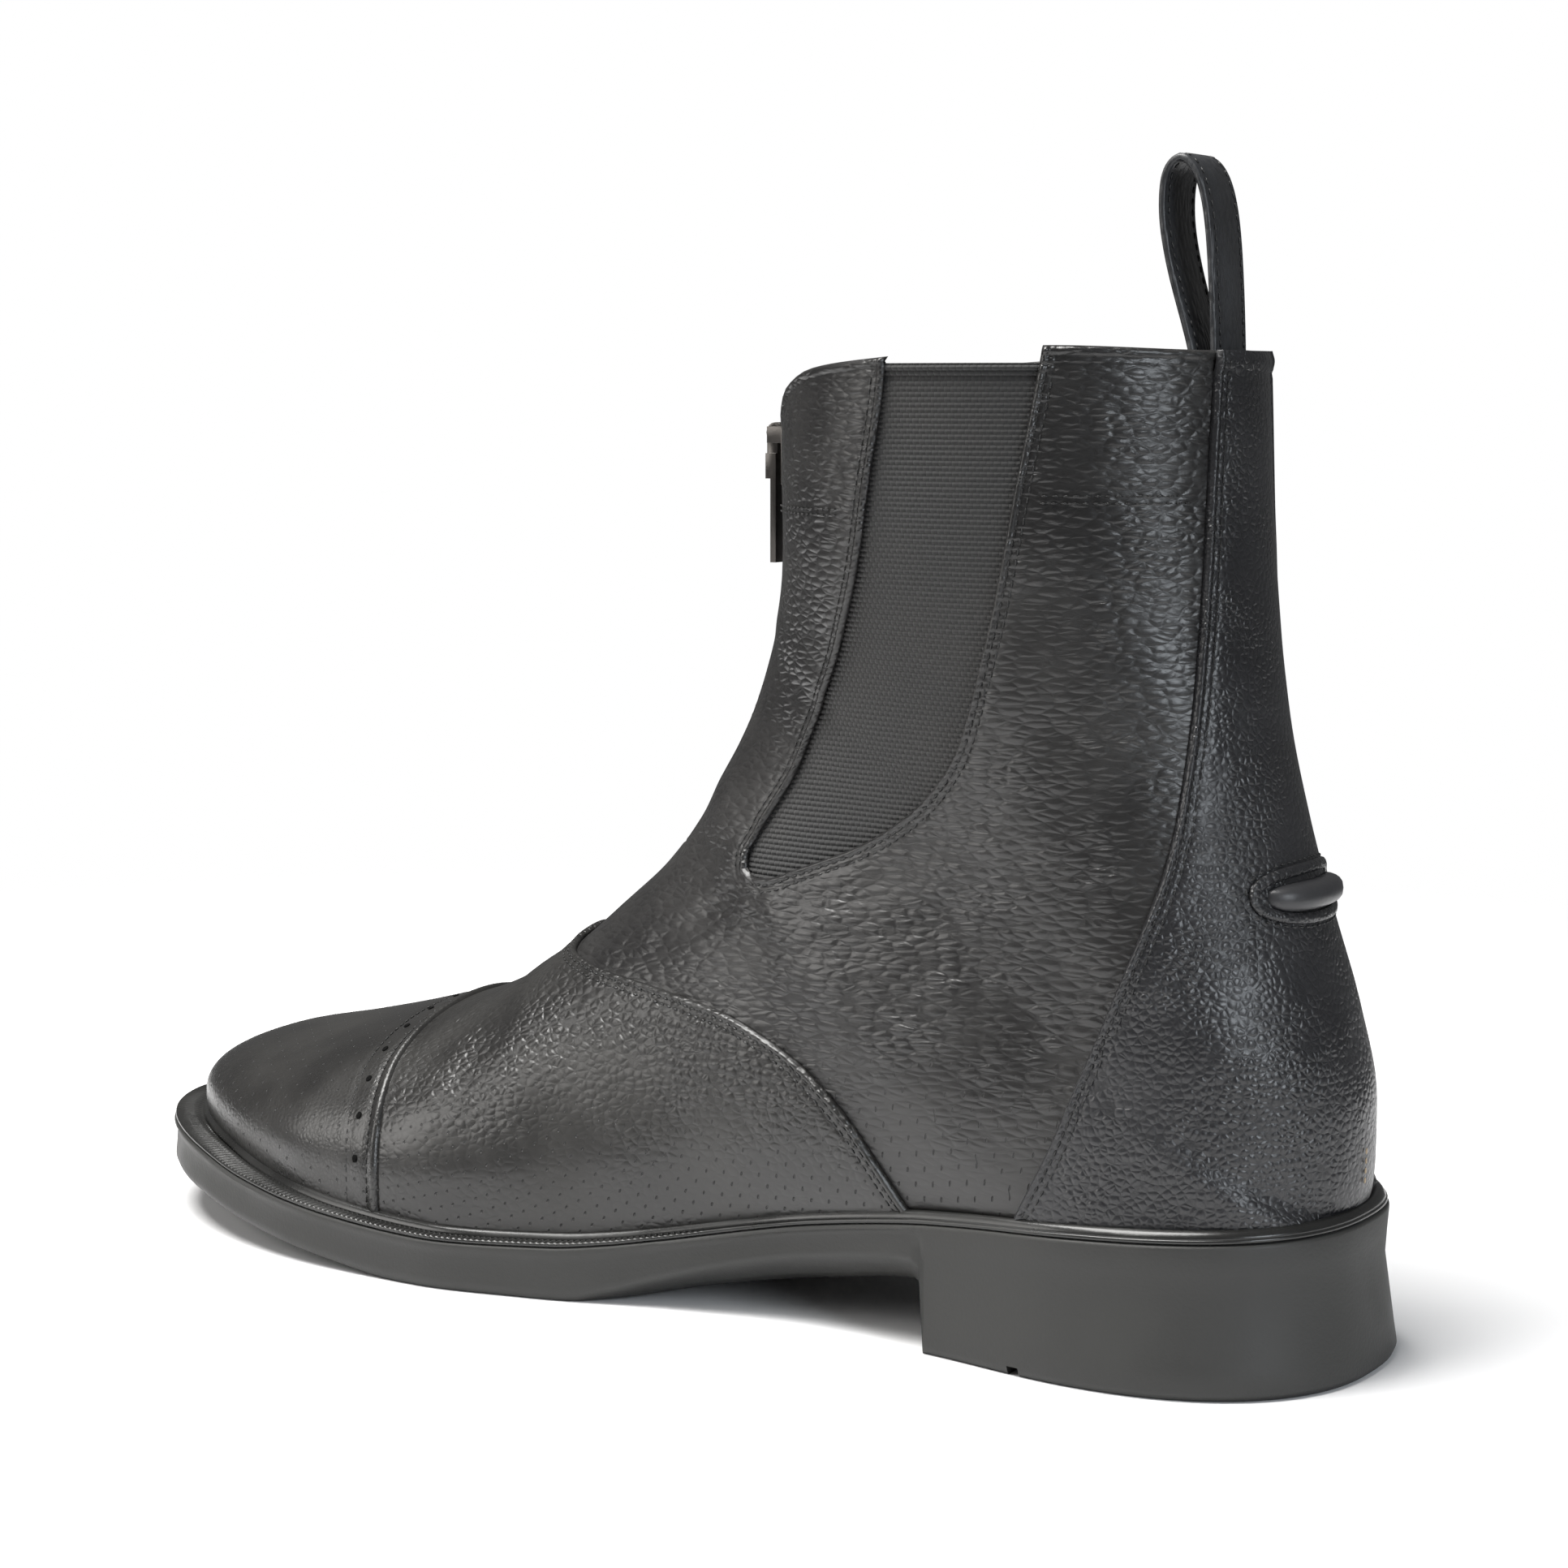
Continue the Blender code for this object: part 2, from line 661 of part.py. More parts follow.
def band(name, profile, finish):
    """A ring that follows the sole's edge: the profile's points are (inset, height above the rim)."""
    bm = bmesh.new()
    stations = sole_stations()
    loop = [(s, LATERAL) for s in stations] + [(s, MEDIAL) for s in reversed(stations[1:-1])]
    rings = []
    for s, side in loop:
        ring = []
        for share, more, height in profile:
            at, half = plan(s, side, share * welt(s) + more)
            ring.append(place(at, middle_x(at) + side * half, rim(s) + height))
        rings.append(ring)
    grid_faces(bm, rings + rings[:1], closed=True)
    return add(name, mesh_from(bm, name), finish)


def make_insole(lining):
    rings = []
    for s in sole_stations():
        ring = []
        for side in (LATERAL, MEDIAL):
            at, half = plan(s, side, welt(s) + WALL + INSOLE_MARGIN)
            middle = middle_x(at) + side * half
            half_ring = [place(at, middle, rim(s) + height) for height in (INSOLE_TOP, GAP)]
            ring += half_ring if side == LATERAL else half_ring[::-1]
        rings.append(ring)
    return add("insole", loft("insole", rings), lining)


def strap(name, path, width, thickness, middle, finish):
    """A flat strap whose middle follows a side-view path."""
    points = curve_through(path, 2)
    rings = []
    for k, (s, z) in enumerate(points):
        before, after = points[max(k - 1, 0)], points[min(k + 1, len(points) - 1)]
        along = Vector((after[0] - before[0], after[1] - before[1])).normalized()
        across = Vector((-along.y, along.x)) * thickness / 2
        ring = []
        for face, edge in ((1, 1), (1, -1), (-1, -1), (-1, 1)):
            ring.append(place(s + face * across.x, middle + edge * width / 2, z + face * across.y))
        rings.append(ring)
    return add(name, loft(name, rings), finish)


def back_rib(height):
    """The rib whose back end lies at a height."""
    first, last = SPUR_REST_RIBS
    ribs = [first + k / 50 for k in range(50 * (last - first))]
    return min(ribs, key=lambda u: abs(last_point(u, math.pi)[2] - height))


def make_spur_rest(rubber):
    """A short bar across the back of the heel, rounded off at both ends, that keeps a spur up."""
    level = back_rib(SPUR_REST_Z)
    inner = BACK_LIFT + OVERLAY + 2 * GAP
    rings = []
    for k in range(-8, 9):
        back = back_point(level, HEEL_MIDDLE_X + SPUR_REST_HALF * k / 8)
        depth = SPUR_REST_REACH * math.sqrt(max(1 - (k / 8) ** 4, 0.06))
        ring = []
        for share, rise in SPUR_REST_PROFILE:
            up = rise * SPUR_REST_HEIGHT / 2
            ring.append(back + Vector((0, inner + depth * share - SPUR_REST_LEAN * up, up)) * MM)
        rings.append(ring)
    return add("spur_rest", loft("spur_rest", rings), rubber)


def back_point(u, x):
    """The point of the upper's back at rib u whose x is given."""
    low, high = math.pi / 2, math.pi
    side = LATERAL if x >= HEEL_MIDDLE_X else MEDIAL
    for _ in range(40):
        mid = (low + high) / 2
        if abs(last_point(u, side * mid)[1] - HEEL_MIDDLE_X) > abs(x - HEEL_MIDDLE_X):
            low = mid
        else:
            high = mid
    return place(*last_point(u, side * high))


def box_object(name, s, x, z, finish=None):
    """A box between pairs of s, x and z values: a sub-part, or a helper where it has no finish."""
    bm = bmesh.new()
    add_box(bm, place(s[0], x[0], z[0]), place(s[1], x[1], z[1]))
    mesh = mesh_from(bm, name)
    return add(name, mesh, finish) if finish else add_cutter(name, mesh)


def bar_object(name, radius, half_width):
    """A helper bar along x on the zip pull's axis."""
    bm = bmesh.new()
    bmesh.ops.create_cone(
        bm, cap_ends=True, segments=16, radius1=radius * MM, radius2=radius * MM, depth=2 * half_width * MM
    )
    bmesh.ops.rotate(bm, verts=bm.verts, cent=(0, 0, 0), matrix=Matrix.Rotation(math.pi / 2, 3, "Y"))
    bmesh.ops.translate(bm, verts=bm.verts, vec=place(ZIP_AXIS[0], HEEL_MIDDLE_X, ZIP_AXIS[1]))
    return add_cutter(name, mesh_from(bm, name))


def make_zip(cloth, metal):
    first, last = zip_ribs()
    tape = skin("zip_tape", -WALL - GAP, -TAPE, (first - 0.5, last), near_front, cloth)
    boolean(tape, zip_prism("keep_tape", TAPE_HALF_WIDTH), "INTERSECT")
    teeth = skin("zip_teeth", -WALL, TEETH, (first - 0.5, last), near_front, metal)
    boolean(teeth, zip_prism("keep_teeth", TEETH_HALF), "INTERSECT")


def make_slider(metal):
    """The slider's body, with two ears that hold the pin of the pull tab."""
    s, z = ZIP_AXIS
    middle = HEEL_MIDDLE_X
    face = SLIDER_FACE + SLIDER_THICKNESS
    wide = (middle - SLIDER_HALF, middle + SLIDER_HALF)
    slider = box_object("zip_slider", (SLIDER_FACE, face), wide, (z + SLIDER_FOOT, z + SLIDER_TOP), metal)
    for side in (LATERAL, MEDIAL):
        ear = sorted((middle + side * EAR_INSIDE, middle + side * EAR_OUTSIDE))
        tall = (z + EAR_FOOT, z + EAR_TOP)
        boolean(slider, box_object(f"ear_{side}", (face - 0.5, s + EAR_FRONT), ear, tall), "UNION")
    boolean(slider, bar_object("pin", PIN_RADIUS, EAR_INSIDE + 0.5), "UNION")


def make_pull(metal):
    """The pull tab, whose origin is on the axis of its pin."""
    s, z = ZIP_AXIS
    middle = HEEL_MIDDLE_X
    neck = (middle - EAR_INSIDE + GAP, middle + EAR_INSIDE - GAP)
    wide = (middle - PULL_WIDTH / 2, middle + PULL_WIDTH / 2)
    blade = (z - PULL_LENGTH, z + HEAD_FOOT + 1.0)
    pull = box_object("zip_pull", (s + PULL_BACK, s + PULL_FRONT), wide, blade, metal)
    thick = (s + PULL_BACK, s + HEAD_FRONT)
    boolean(pull, box_object("head", thick, wide, (z + HEAD_FOOT, z + HEAD_TOP)), "UNION")
    boolean(pull, box_object("neck", thick, neck, (z + HEAD_TOP - 1.0, z)), "UNION")
    boolean(pull, bar_object("eye", EYE_RADIUS, EAR_INSIDE - GAP), "UNION")
    boolean(pull, bar_object("eye_hole", PIN_RADIUS + PIN_GAP, EAR_OUTSIDE), "DIFFERENCE")
    hinge = place(s, middle, z)
    pull.data.transform(Matrix.Translation(-hinge))
    pull.location = hinge


for startup in list(bpy.data.objects):
    bpy.data.objects.remove(startup)
BOOT = collection("Paddock boot")
CUTTERS = collection("Cutters", seen=False)
LEATHER = material("Black leather", (0.022, 0.021, 0.022), 0.45)
RUBBER = material("Black rubber", (0.03, 0.03, 0.031), 0.6)
LINING = material("Black lining", (0.03, 0.03, 0.03), 0.9)
FABRIC = material("Black elastic", (0.028, 0.028, 0.03), 0.85)
METAL = material("Dark metal", (0.1, 0.1, 0.105), 0.35, 1.0)

make_upper(LEATHER)
make_overlays(LEATHER)
make_gussets(FABRIC)
make_sole(RUBBER)
band("welt", WELT_PROFILE, RUBBER)
make_insole(LINING)
strap("pull_loop", LOOP_PATH, LOOP_WIDTH, LOOP_THICKNESS, HEEL_MIDDLE_X, LEATHER)
make_spur_rest(RUBBER)
make_zip(FABRIC, METAL)
make_slider(METAL)
make_pull(METAL)
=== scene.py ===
# %% [markdown]
# # Dressing a paddock boot
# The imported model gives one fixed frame: metres, +X towards the outer side, -Y towards the toe, +Z up, with the
# origin on the floor under the heel. Every piece below is made in that frame, so nothing is fitted by eye.

# %% Load the frame
import math

import bmesh
import bpy
import numpy as np
from mathutils import Matrix, Vector
from mathutils.bvhtree import BVHTree


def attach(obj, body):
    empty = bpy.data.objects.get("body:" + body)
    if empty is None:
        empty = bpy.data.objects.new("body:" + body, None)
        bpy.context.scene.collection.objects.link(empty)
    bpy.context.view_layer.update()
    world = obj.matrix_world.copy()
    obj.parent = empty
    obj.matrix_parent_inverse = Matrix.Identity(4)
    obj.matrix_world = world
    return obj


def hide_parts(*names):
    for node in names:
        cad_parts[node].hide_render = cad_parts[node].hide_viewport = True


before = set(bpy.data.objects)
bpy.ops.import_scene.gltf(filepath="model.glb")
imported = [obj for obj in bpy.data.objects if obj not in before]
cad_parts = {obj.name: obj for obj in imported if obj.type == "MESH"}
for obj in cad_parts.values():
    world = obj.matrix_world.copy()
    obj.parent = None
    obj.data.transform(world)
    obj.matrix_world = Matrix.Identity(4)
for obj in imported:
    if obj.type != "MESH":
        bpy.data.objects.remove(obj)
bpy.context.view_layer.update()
print("frame:", sorted(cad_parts))

# %% [markdown]
# ## The last
# A shoe is built round a last, so the scene repeats the last's short tables: the sole's plan, its heights, and
# the ribs of the upper. Lengths are in millimetres: s runs forward from the back of the heel, x outwards, z up.

# %% The last's tables
MM = 0.001
ORIGIN_S, SOLE_LENGTH, HEEL_LENGTH = 40.0, 300.0, 79.5
HEEL_END, TOE_END, HEEL_ROUNDNESS, TOE_ROUNDNESS = 45.0, 68.0, 2.35, 1.85
HEEL_X, TOE_X, SWING_FROM, SWING_TO = 2.0, -8.0, 100.0, 260.0
OUTER, INNER = 1, -1
GAP = 0.3
BREADTHS = (
    # s, outer, inner, welt
    (0.0, 39.0, 38.5, 3.4), (45.0, 39.0, 38.5, 3.4), (80.0, 34.2, 34.4, 3.6), (110.0, 31.8, 31.0, 3.8),
    (140.0, 37.4, 33.0, 4.8), (170.0, 47.4, 38.5, 5.8), (195.0, 53.6, 43.0, 6.0), (220.0, 54.6, 44.6, 6.2),
    (245.0, 52.6, 43.6, 7.2), (300.0, 50.0, 42.0, 9.8),
)
SOLE_HEIGHTS = (
    # s, rim, low edge of the side, underside, flare
    (0.0, 29.5, 1.2, 0.0, 1.7), (30.0, 28.6, 1.2, 0.0, 1.6), (60.0, 26.9, 1.2, 0.0, 1.2),
    (79.4, 25.1, 1.2, 0.0, 1.0), (80.4, 25.0, 18.0, 10.6, 0.0), (105.0, 21.3, 15.1, 7.4, 0.0),
    (123.0, 17.8, 11.5, 4.6, 0.0), (141.0, 14.2, 6.6, 1.8, 0.0), (152.0, 12.3, 3.2, 0.6, 0.0),
    (163.0, 11.1, 1.2, 0.0, 0.0), (190.0, 10.2, 1.2, 0.0, 0.0), (200.0, 10.4, 1.4, 0.0, 0.0),
    (220.0, 11.7, 3.2, 1.9, 0.0), (249.0, 15.1, 6.7, 5.4, 0.0), (267.0, 18.2, 9.3, 8.0, 0.0),
    (282.0, 19.8, 10.6, 9.2, 0.0), (300.0, 20.8, 12.0, 10.6, 0.0),
)
RIBS = (
    # end station, its height, top s, top z, outer, inner, widest, crest, turn
    (300.0, None, 290.2, 25.5, 0.0, 0.0, 0.30, 2.2, 2.0), (297.5, None, 287.9, 29.4, 9.6, 8.0, 0.42, 2.2, 2.0),
    (291.0, None, 282.0, 33.4, 19.6, 16.2, 0.56, 2.2, 2.0), (279.0, None, 271.3, 37.6, 30.4, 25.2, 0.66, 2.2, 2.0),
    (258.0, None, 252.3, 41.7, 41.6, 33.8, 0.72, 2.1, 2.0), (233.0, None, 229.1, 47.3, 48.0, 38.6, 0.76, 2.0, 2.0),
    (208.0, None, 204.0, 55.0, 49.0, 39.2, 0.79, 1.9, 2.0), (181.0, None, 187.0, 65.6, 45.4, 36.6, 0.78, 1.8, 2.0),
    (152.0, None, 172.5, 77.6, 38.4, 34.0, 0.76, 1.8, 2.0), (119.0, None, 160.6, 87.8, 34.4, 33.4, 0.74, 1.8, 2.0),
    (84.0, None, 152.0, 98.2, 34.2, 34.0, 0.74, 1.8, 2.0), (47.0, None, 146.6, 107.2, 36.2, 35.6, 0.74, 1.9, 2.0),
    (18.0, None, 142.0, 115.0, 35.6, 35.0, 0.74, 1.9, 1.6), (4.0, None, 138.8, 121.5, 34.6, 34.2, 0.74, 1.9, 1.2),
    (0.0, None, 136.6, 127.0, 34.0, 33.6, 0.73, 1.9, 1.0), (2.2, 38.0, 135.0, 131.5, 33.6, 33.2, 0.71, 1.9, 1.0),
    (1.8, 50.0, 133.4, 136.5, 33.4, 33.0, 0.69, 1.9, 1.0), (4.8, 66.0, 131.8, 142.5, 33.4, 33.0, 0.65, 2.0, 1.0),
    (10.2, 84.0, 130.4, 149.0, 33.8, 33.4, 0.61, 2.0, 1.0), (15.6, 103.0, 129.4, 155.5, 35.0, 34.6, 0.57, 2.0, 1.0),
    (20.4, 126.0, 128.6, 162.0, 36.6, 36.2, 0.54, 2.0, 1.0), (23.4, 158.0, 128.0, 171.0, 38.6, 38.2, 0.51, 2.0, 1.0),
    (24.6, 196.5, 127.6, 179.5, 39.8, 39.4, 0.50, 2.0, 1.0),
)
COLLAR_RISE = ((0.0, 0.0), (0.02, 1.5), (0.06, 5.0), (0.10, 8.3), (0.20, 10.3), (0.40, 9.0), (0.70, 6.0), (1.0, 0.0))
LAST_RIB = len(RIBS) - 1.0


# %% Read a table with a smooth curve
def glide(rows, at, column):
    """A column of a table at any place, by a curve that doesn't overshoot its rows."""
    if at <= rows[0][0]:
        return rows[0][column]
    if at >= rows[-1][0]:
        return rows[-1][column]
    i = max(k for k in range(len(rows) - 1) if rows[k][0] <= at)

    def rise(k):
        return (rows[k + 1][column] - rows[k][column]) / (rows[k + 1][0] - rows[k][0])

    def slope(k):
        if k <= 0 or k >= len(rows) - 1:
            return rise(min(max(k, 0), len(rows) - 2))
        before, after = rise(k - 1), rise(k)
        return 0.0 if before * after <= 0 else 2 * before * after / (before + after)

    run = rows[i + 1][0] - rows[i][0]
    t = (at - rows[i][0]) / run
    ends = (1 + 2 * t) * (1 - t) ** 2 * rows[i][column] + t * t * (3 - 2 * t) * rows[i + 1][column]
    return ends + t * (1 - t) ** 2 * run * slope(i) + t * t * (t - 1) * run * slope(i + 1)


def dense(rows, column, count=600):
    places = np.linspace(rows[0][0], rows[-1][0], count)
    return places, np.array([glide(rows, at, column) for at in places])


def middle_x(s):
    t = np.clip((np.asarray(s, float) - SWING_FROM) / (SWING_TO - SWING_FROM), 0.0, 1.0)
    return HEEL_X + (TOE_X - HEEL_X) * t * t * (3 - 2 * t)


def end_factor(s):
    if s < HEEL_END:
        return max(1 - (1 - s / HEEL_END) ** HEEL_ROUNDNESS, 0.0) ** (1 / HEEL_ROUNDNESS)
    into_toe = (s - (SOLE_LENGTH - TOE_END)) / TOE_END
    return 1.0 if into_toe <= 0 else max(1 - into_toe**TOE_ROUNDNESS, 0.0) ** (1 / TOE_ROUNDNESS)


def plan(s, side, inset):
    """(s, half breadth) of a line inset from the sole's edge, at a station of that edge."""
    breadth = glide(BREADTHS, s, 1 if side == OUTER else 2)
    return s + inset * (1 - 2 * s / SOLE_LENGTH), (breadth - inset) * end_factor(s)


def welt_width(s):
    return glide(BREADTHS, s, 3)


def rim(s):
    return glide(SOLE_HEIGHTS, s, 1)


# %% Sample the ribs once, then find any point of the last
def rib(u):
    rows = [(k, *row) for k, row in enumerate(RIBS)]
    climbing = next(k for k, row in enumerate(RIBS) if row[1] is not None)
    if u <= climbing - 1:
        station = glide(rows, u, 1)
        end = plan(station, OUTER, welt_width(station))[0], rim(station) + GAP
        feet = [plan(station, side, welt_width(station))[1] for side in (OUTER, INNER)]
    else:
        heel = (climbing - 1, welt_width(0.0), rim(0.0) + GAP)
        back = [heel] + [(k, row[0], row[1]) for k, row in enumerate(RIBS) if k >= climbing]
        end, feet = (glide(back, u, 1), glide(back, u, 2)), [0.0, 0.0]
    return [*end, *feet, *(glide(rows, u, k) for k in range(3, 10))]


RIB_AT = np.linspace(0.0, LAST_RIB, 1101)
RIB_TABLE = np.array([rib(u) for u in RIB_AT])
COLLAR_AT, COLLAR_BY = dense(COLLAR_RISE, 1)


def last(u, angle):
    """Points outside the upper in mm (x, y, z), for ribs u and angles from 0 at the front to +-pi at the end."""
    u, angle = np.broadcast_arrays(np.asarray(u, float), np.asarray(angle, float))
    columns = [np.interp(u, RIB_AT, RIB_TABLE[:, k]) for k in range(RIB_TABLE.shape[1])]
    end_s, end_z, foot_out, foot_in, top_s, top_z, wide_out, wide_in, widest, crest, turn = columns
    turned, outer = np.abs(angle), angle >= 0
    sine, cosine = np.maximum(np.sin(turned), 0.0), np.cos(turned)
    wide, foot = np.where(outer, wide_out, wide_in), np.where(outer, foot_out, foot_in)
    above = turned <= math.pi / 2
    share = np.where(above, widest * (1 - np.maximum(cosine, 0.0) ** (2 / crest)), widest - (1 - widest) * cosine)
    half = np.where(above, wide * sine ** (2 / crest), foot + (wide - foot) * sine**turn)
    s = top_s + share * (end_s - top_s)
    collar = np.clip((u - (LAST_RIB - 2)) / 2, 0.0, 1.0) ** 2
    z = top_z + share * (end_z - top_z) + collar * np.interp(share, COLLAR_AT, COLLAR_BY)
    return np.stack([middle_x(s) + np.where(outer, 1, -1) * half, ORIGIN_S - s, z], axis=-1)


def unit(vectors):
    return vectors / np.maximum(np.linalg.norm(vectors, axis=-1, keepdims=True), 1e-12)


def slopes(u, angle):
    """The last's two directions at points: per rib and per radian."""
    step = 0.004
    up, down = np.minimum(u + step, LAST_RIB), np.maximum(u - step, 0.0)
    on, back = np.minimum(angle + step, math.pi), np.maximum(angle - step, -math.pi)
    along = (last(up, angle) - last(down, angle)) / (up - down)[..., None]
    round_it = (last(u, on) - last(u, back)) / (on - back)[..., None]
    return along, round_it


def outward(u, angle):
    along, round_it = slopes(u, angle)
    return unit(np.cross(round_it, along))


print("last: collar at", last(LAST_RIB, 1.0).round(1), "mm")

# %% [markdown]
# ## Seams
# Each seam is a run of (s, z) points in side view. Where it crosses the last is solved once per rib or per angle,
# and a line beside it, such as a row of stitches, is that line moved across the surface by a distance.

# %% Seam tables
CAP_SEAM = ((12.0, 207.6), (20.0, 207.6), (28.5, 208.6), (36.5, 210.8), (43.0, 213.0), (50.0, 214.0), (62.0, 213.0))
VAMP_SEAM = (
    (19.0, 79.0), (28.0, 84.5), (36.4, 89.9), (43.2, 95.0), (50.3, 102.8), (54.4, 109.0), (58.2, 117.6),
    (61.2, 127.0), (63.0, 138.0), (64.3, 150.0), (65.2, 161.0), (66.3, 171.0), (67.2, 178.0), (69.4, 181.0),
    (74.0, 178.5), (84.0, 170.0),
)
BACK_SEAM = (
    (20.0, 64.0), (31.0, 57.5), (38.0, 53.6), (46.2, 49.5), (57.3, 45.0), (68.5, 40.2), (78.0, 36.4),
    (88.0, 33.0), (98.0, 30.4), (110.0, 28.9), (134.0, 28.0), (165.0, 27.6), (205.0, 26.8),
)
GUSSET = (
    # z, front, rear
    (90.4, 127.2, 116.4), (93.0, 127.6, 109.4), (97.0, 126.0, 99.2), (102.0, 123.0, 89.8), (110.0, 118.0, 79.2),
    (119.0, 113.5, 72.2), (137.0, 103.0, 65.4), (154.0, 94.8, 61.0), (170.0, 90.4, 57.8), (194.0, 85.5, 53.0),
    (206.0, 85.0, 51.0),
)


def first_crossing(values, places, otherwise):
    """Where each column of values first falls through zero, or the given place."""
    falls = (values[:-1] > 0) & (values[1:] <= 0)
    row, column = falls.argmax(axis=0), np.arange(values.shape[1])
    before, after = values[row, column], values[row + 1, column]
    share = before / np.where(falls.any(axis=0), before - after, 1.0)
    return np.where(falls.any(axis=0), places[row] + share * (places[1] - places[0]), otherwise)


def ahead_of(points, table, column=1):
    """How far points lie in front of a seam, in side view."""
    return ORIGIN_S - points[..., 1] - np.interp(points[..., 2], *dense(table, column))


def seam_ribs(table, angles):
    """The rib at which a seam crosses the lines of constant angle."""
    places = np.linspace(0.0, LAST_RIB, 900)
    return first_crossing(ahead_of(last(places[:, None], angles[None, :]), table), places, LAST_RIB)


def seam_angles(table, ribs, side, column=1):
    """The angle at which a seam crosses the ribs."""
    places = np.linspace(0.0, math.pi, 700)
    values = ahead_of(last(ribs[None, :], side * places[:, None]), table, column)
    return first_crossing(values, places, math.pi)


def beside(line, distance):
    """A line of (rib, angle) pairs moved across the surface. Positive is to the left of its run, seen from outside."""
    u, angle = line[:, 0], line[:, 1]
    path = last(u, angle)
    tangent = unit(np.gradient(path, axis=0))
    across = np.cross(outward(u, angle), tangent) * distance
    along, round_it = slopes(u, angle)
    aa, ab, bb = (along * along).sum(-1), (along * round_it).sum(-1), (round_it * round_it).sum(-1)
    pa, pb = (across * along).sum(-1), (across * round_it).sum(-1)
    scale = np.maximum(aa * bb - ab * ab, 1e-9)
    moved = np.stack([u + (pa * bb - pb * ab) / scale, angle + (pb * aa - pa * ab) / scale], axis=-1)
    moved[:, 0] = np.clip(moved[:, 0], 0.0, LAST_RIB)
    return moved


def distance_to(line, points):
    """The distance in mm of points from a line of points."""
    flat, best = points.reshape(-1, 3), np.full(points.size // 3, 1e9)
    for a, b in zip(line[:-1], line[1:]):
        run = b - a
        t = np.clip((flat - a) @ run / max(run @ run, 1e-9), 0.0, 1.0)
        best = np.minimum(best, np.linalg.norm(flat - a - t[:, None] * run, axis=1))
    return best.reshape(points.shape[:-1])


# %% Solve the seams
CAP_ANGLES = np.linspace(-math.pi, math.pi, 131)
cap_edge = np.stack([seam_ribs(CAP_SEAM, CAP_ANGLES), CAP_ANGLES], axis=-1)
VAMP_ANGLES = np.linspace(-math.pi, math.pi, 181)
vamp_edge = np.stack([seam_ribs(VAMP_SEAM, VAMP_ANGLES), VAMP_ANGLES], axis=-1)
gusset_ribs = np.linspace(9.5, LAST_RIB, 2600)
BACK_RIB = float(gusset_ribs[seam_angles(BACK_SEAM, gusset_ribs, OUTER) < math.pi - 1e-3][0])
ZIP_RIB = 9.2


OPENING_FLOOR = (
    # s, z along the underside of the opening, up to its front edge
    (100.0, 96.6), (104.5, 94.7), (109.4, 92.9), (116.4, 90.2), (121.0, 89.0), (124.2, 88.8), (126.4, 89.6),
    (127.6, 91.6), (127.9, 94.0),
)


def opening_angles(ribs, side):
    """The angles of the elastic opening's front and rear edges, which meet in a round tip."""
    places = np.linspace(0.0, math.pi, 900)
    points = last(ribs[None, :], side * places[:, None])
    front = first_crossing(ahead_of(points, GUSSET, 1), places, math.pi)
    rear = first_crossing(ahead_of(points, GUSSET, 2), places, math.pi)
    above = points[..., 2] - np.interp(ORIGIN_S - points[..., 1], *dense(OPENING_FLOOR, 1))
    above = np.where(places[:, None] <= front[None, :] + places[1], 1.0, above)
    return front, np.maximum(np.minimum(rear, first_crossing(above, places, math.pi)), front)


low_ribs = np.linspace(10.0, 13.0, 1500)
low_front, low_rear = opening_angles(low_ribs, OUTER)
TIP_RIB = float(low_ribs[low_rear - low_front > 2.2 * math.pi / 900][0])
print("gusset tip at rib %.2f, back panel from rib %.2f" % (TIP_RIB, BACK_RIB))

# %% [markdown]
# ## Sheets from a grid
# A leather panel is a flat hide pulled over the last. Blender can do the same: a flat grid from bmesh, whose
# vertices are then moved onto the last. Its rows crowd together at the seams, where the hide is folded.


# %% Grid and piece helpers
SAME_PLACE, SAME_SEAM = 8e-6, 2e-5


def pulled_grid(points, mapped=None, facing=None, left_out=None):
    """A bmesh grid whose vertices are moved to points (rows, columns, xyz in mm).
    left_out(rows, columns) picks faces to leave out, by the rows and columns of their corners."""
    rows, columns = points.shape[:2]
    bm = bmesh.new()
    bmesh.ops.create_grid(bm, x_segments=columns - 1, y_segments=rows - 1, size=1.0)
    for vert, at in zip(bm.verts, points.reshape(-1, 3) * MM):
        vert.co = at
    bm.verts.index_update()
    if mapped is not None:
        layer, flat = bm.loops.layers.uv.new("Surface"), mapped.reshape(-1, 2)
        for face in bm.faces:
            for loop in face.loops:
                loop[layer].uv = flat[loop.vert.index]
    if facing is not None:
        bm.normal_update()
        wanted = facing.reshape(-1, 3)
        if sum(np.dot(face.normal, wanted[face.verts[0].index]) for face in bm.faces) < 0:
            bmesh.ops.reverse_faces(bm, faces=bm.faces)
    if left_out is None:
        bmesh.ops.remove_doubles(bm, verts=bm.verts, dist=SAME_PLACE)
        return bm
    places = {face: zip(*(divmod(vert.index, columns) for vert in face.verts)) for face in bm.faces}
    gone = [face for face, corners in places.items() if left_out(*map(set, corners))]
    bmesh.ops.delete(bm, geom=gone, context="FACES")
    return bm


def measured(points, zero_column):
    """UV in millimetres: along each row from one column, and along each column from the first row."""
    across = np.linalg.norm(np.diff(points, axis=1, prepend=points[:, :1]), axis=-1).cumsum(axis=1)
    down = np.linalg.norm(np.diff(points, axis=0, prepend=points[:1]), axis=-1).cumsum(axis=0)
    across = across - across[:, zero_column : zero_column + 1]
    return np.stack([across, down], axis=-1)


def as_mesh(name, bm):
    """Turns a bmesh into a mesh, and frees it."""
    mesh = bpy.data.meshes.new(name)
    bm.to_mesh(mesh)
    bm.free()
    return mesh


def in_scene(name, data):
    """A new object at the origin, linked to the scene."""
    made = bpy.data.objects.new(name, data)
    bpy.context.scene.collection.objects.link(made)
    return made


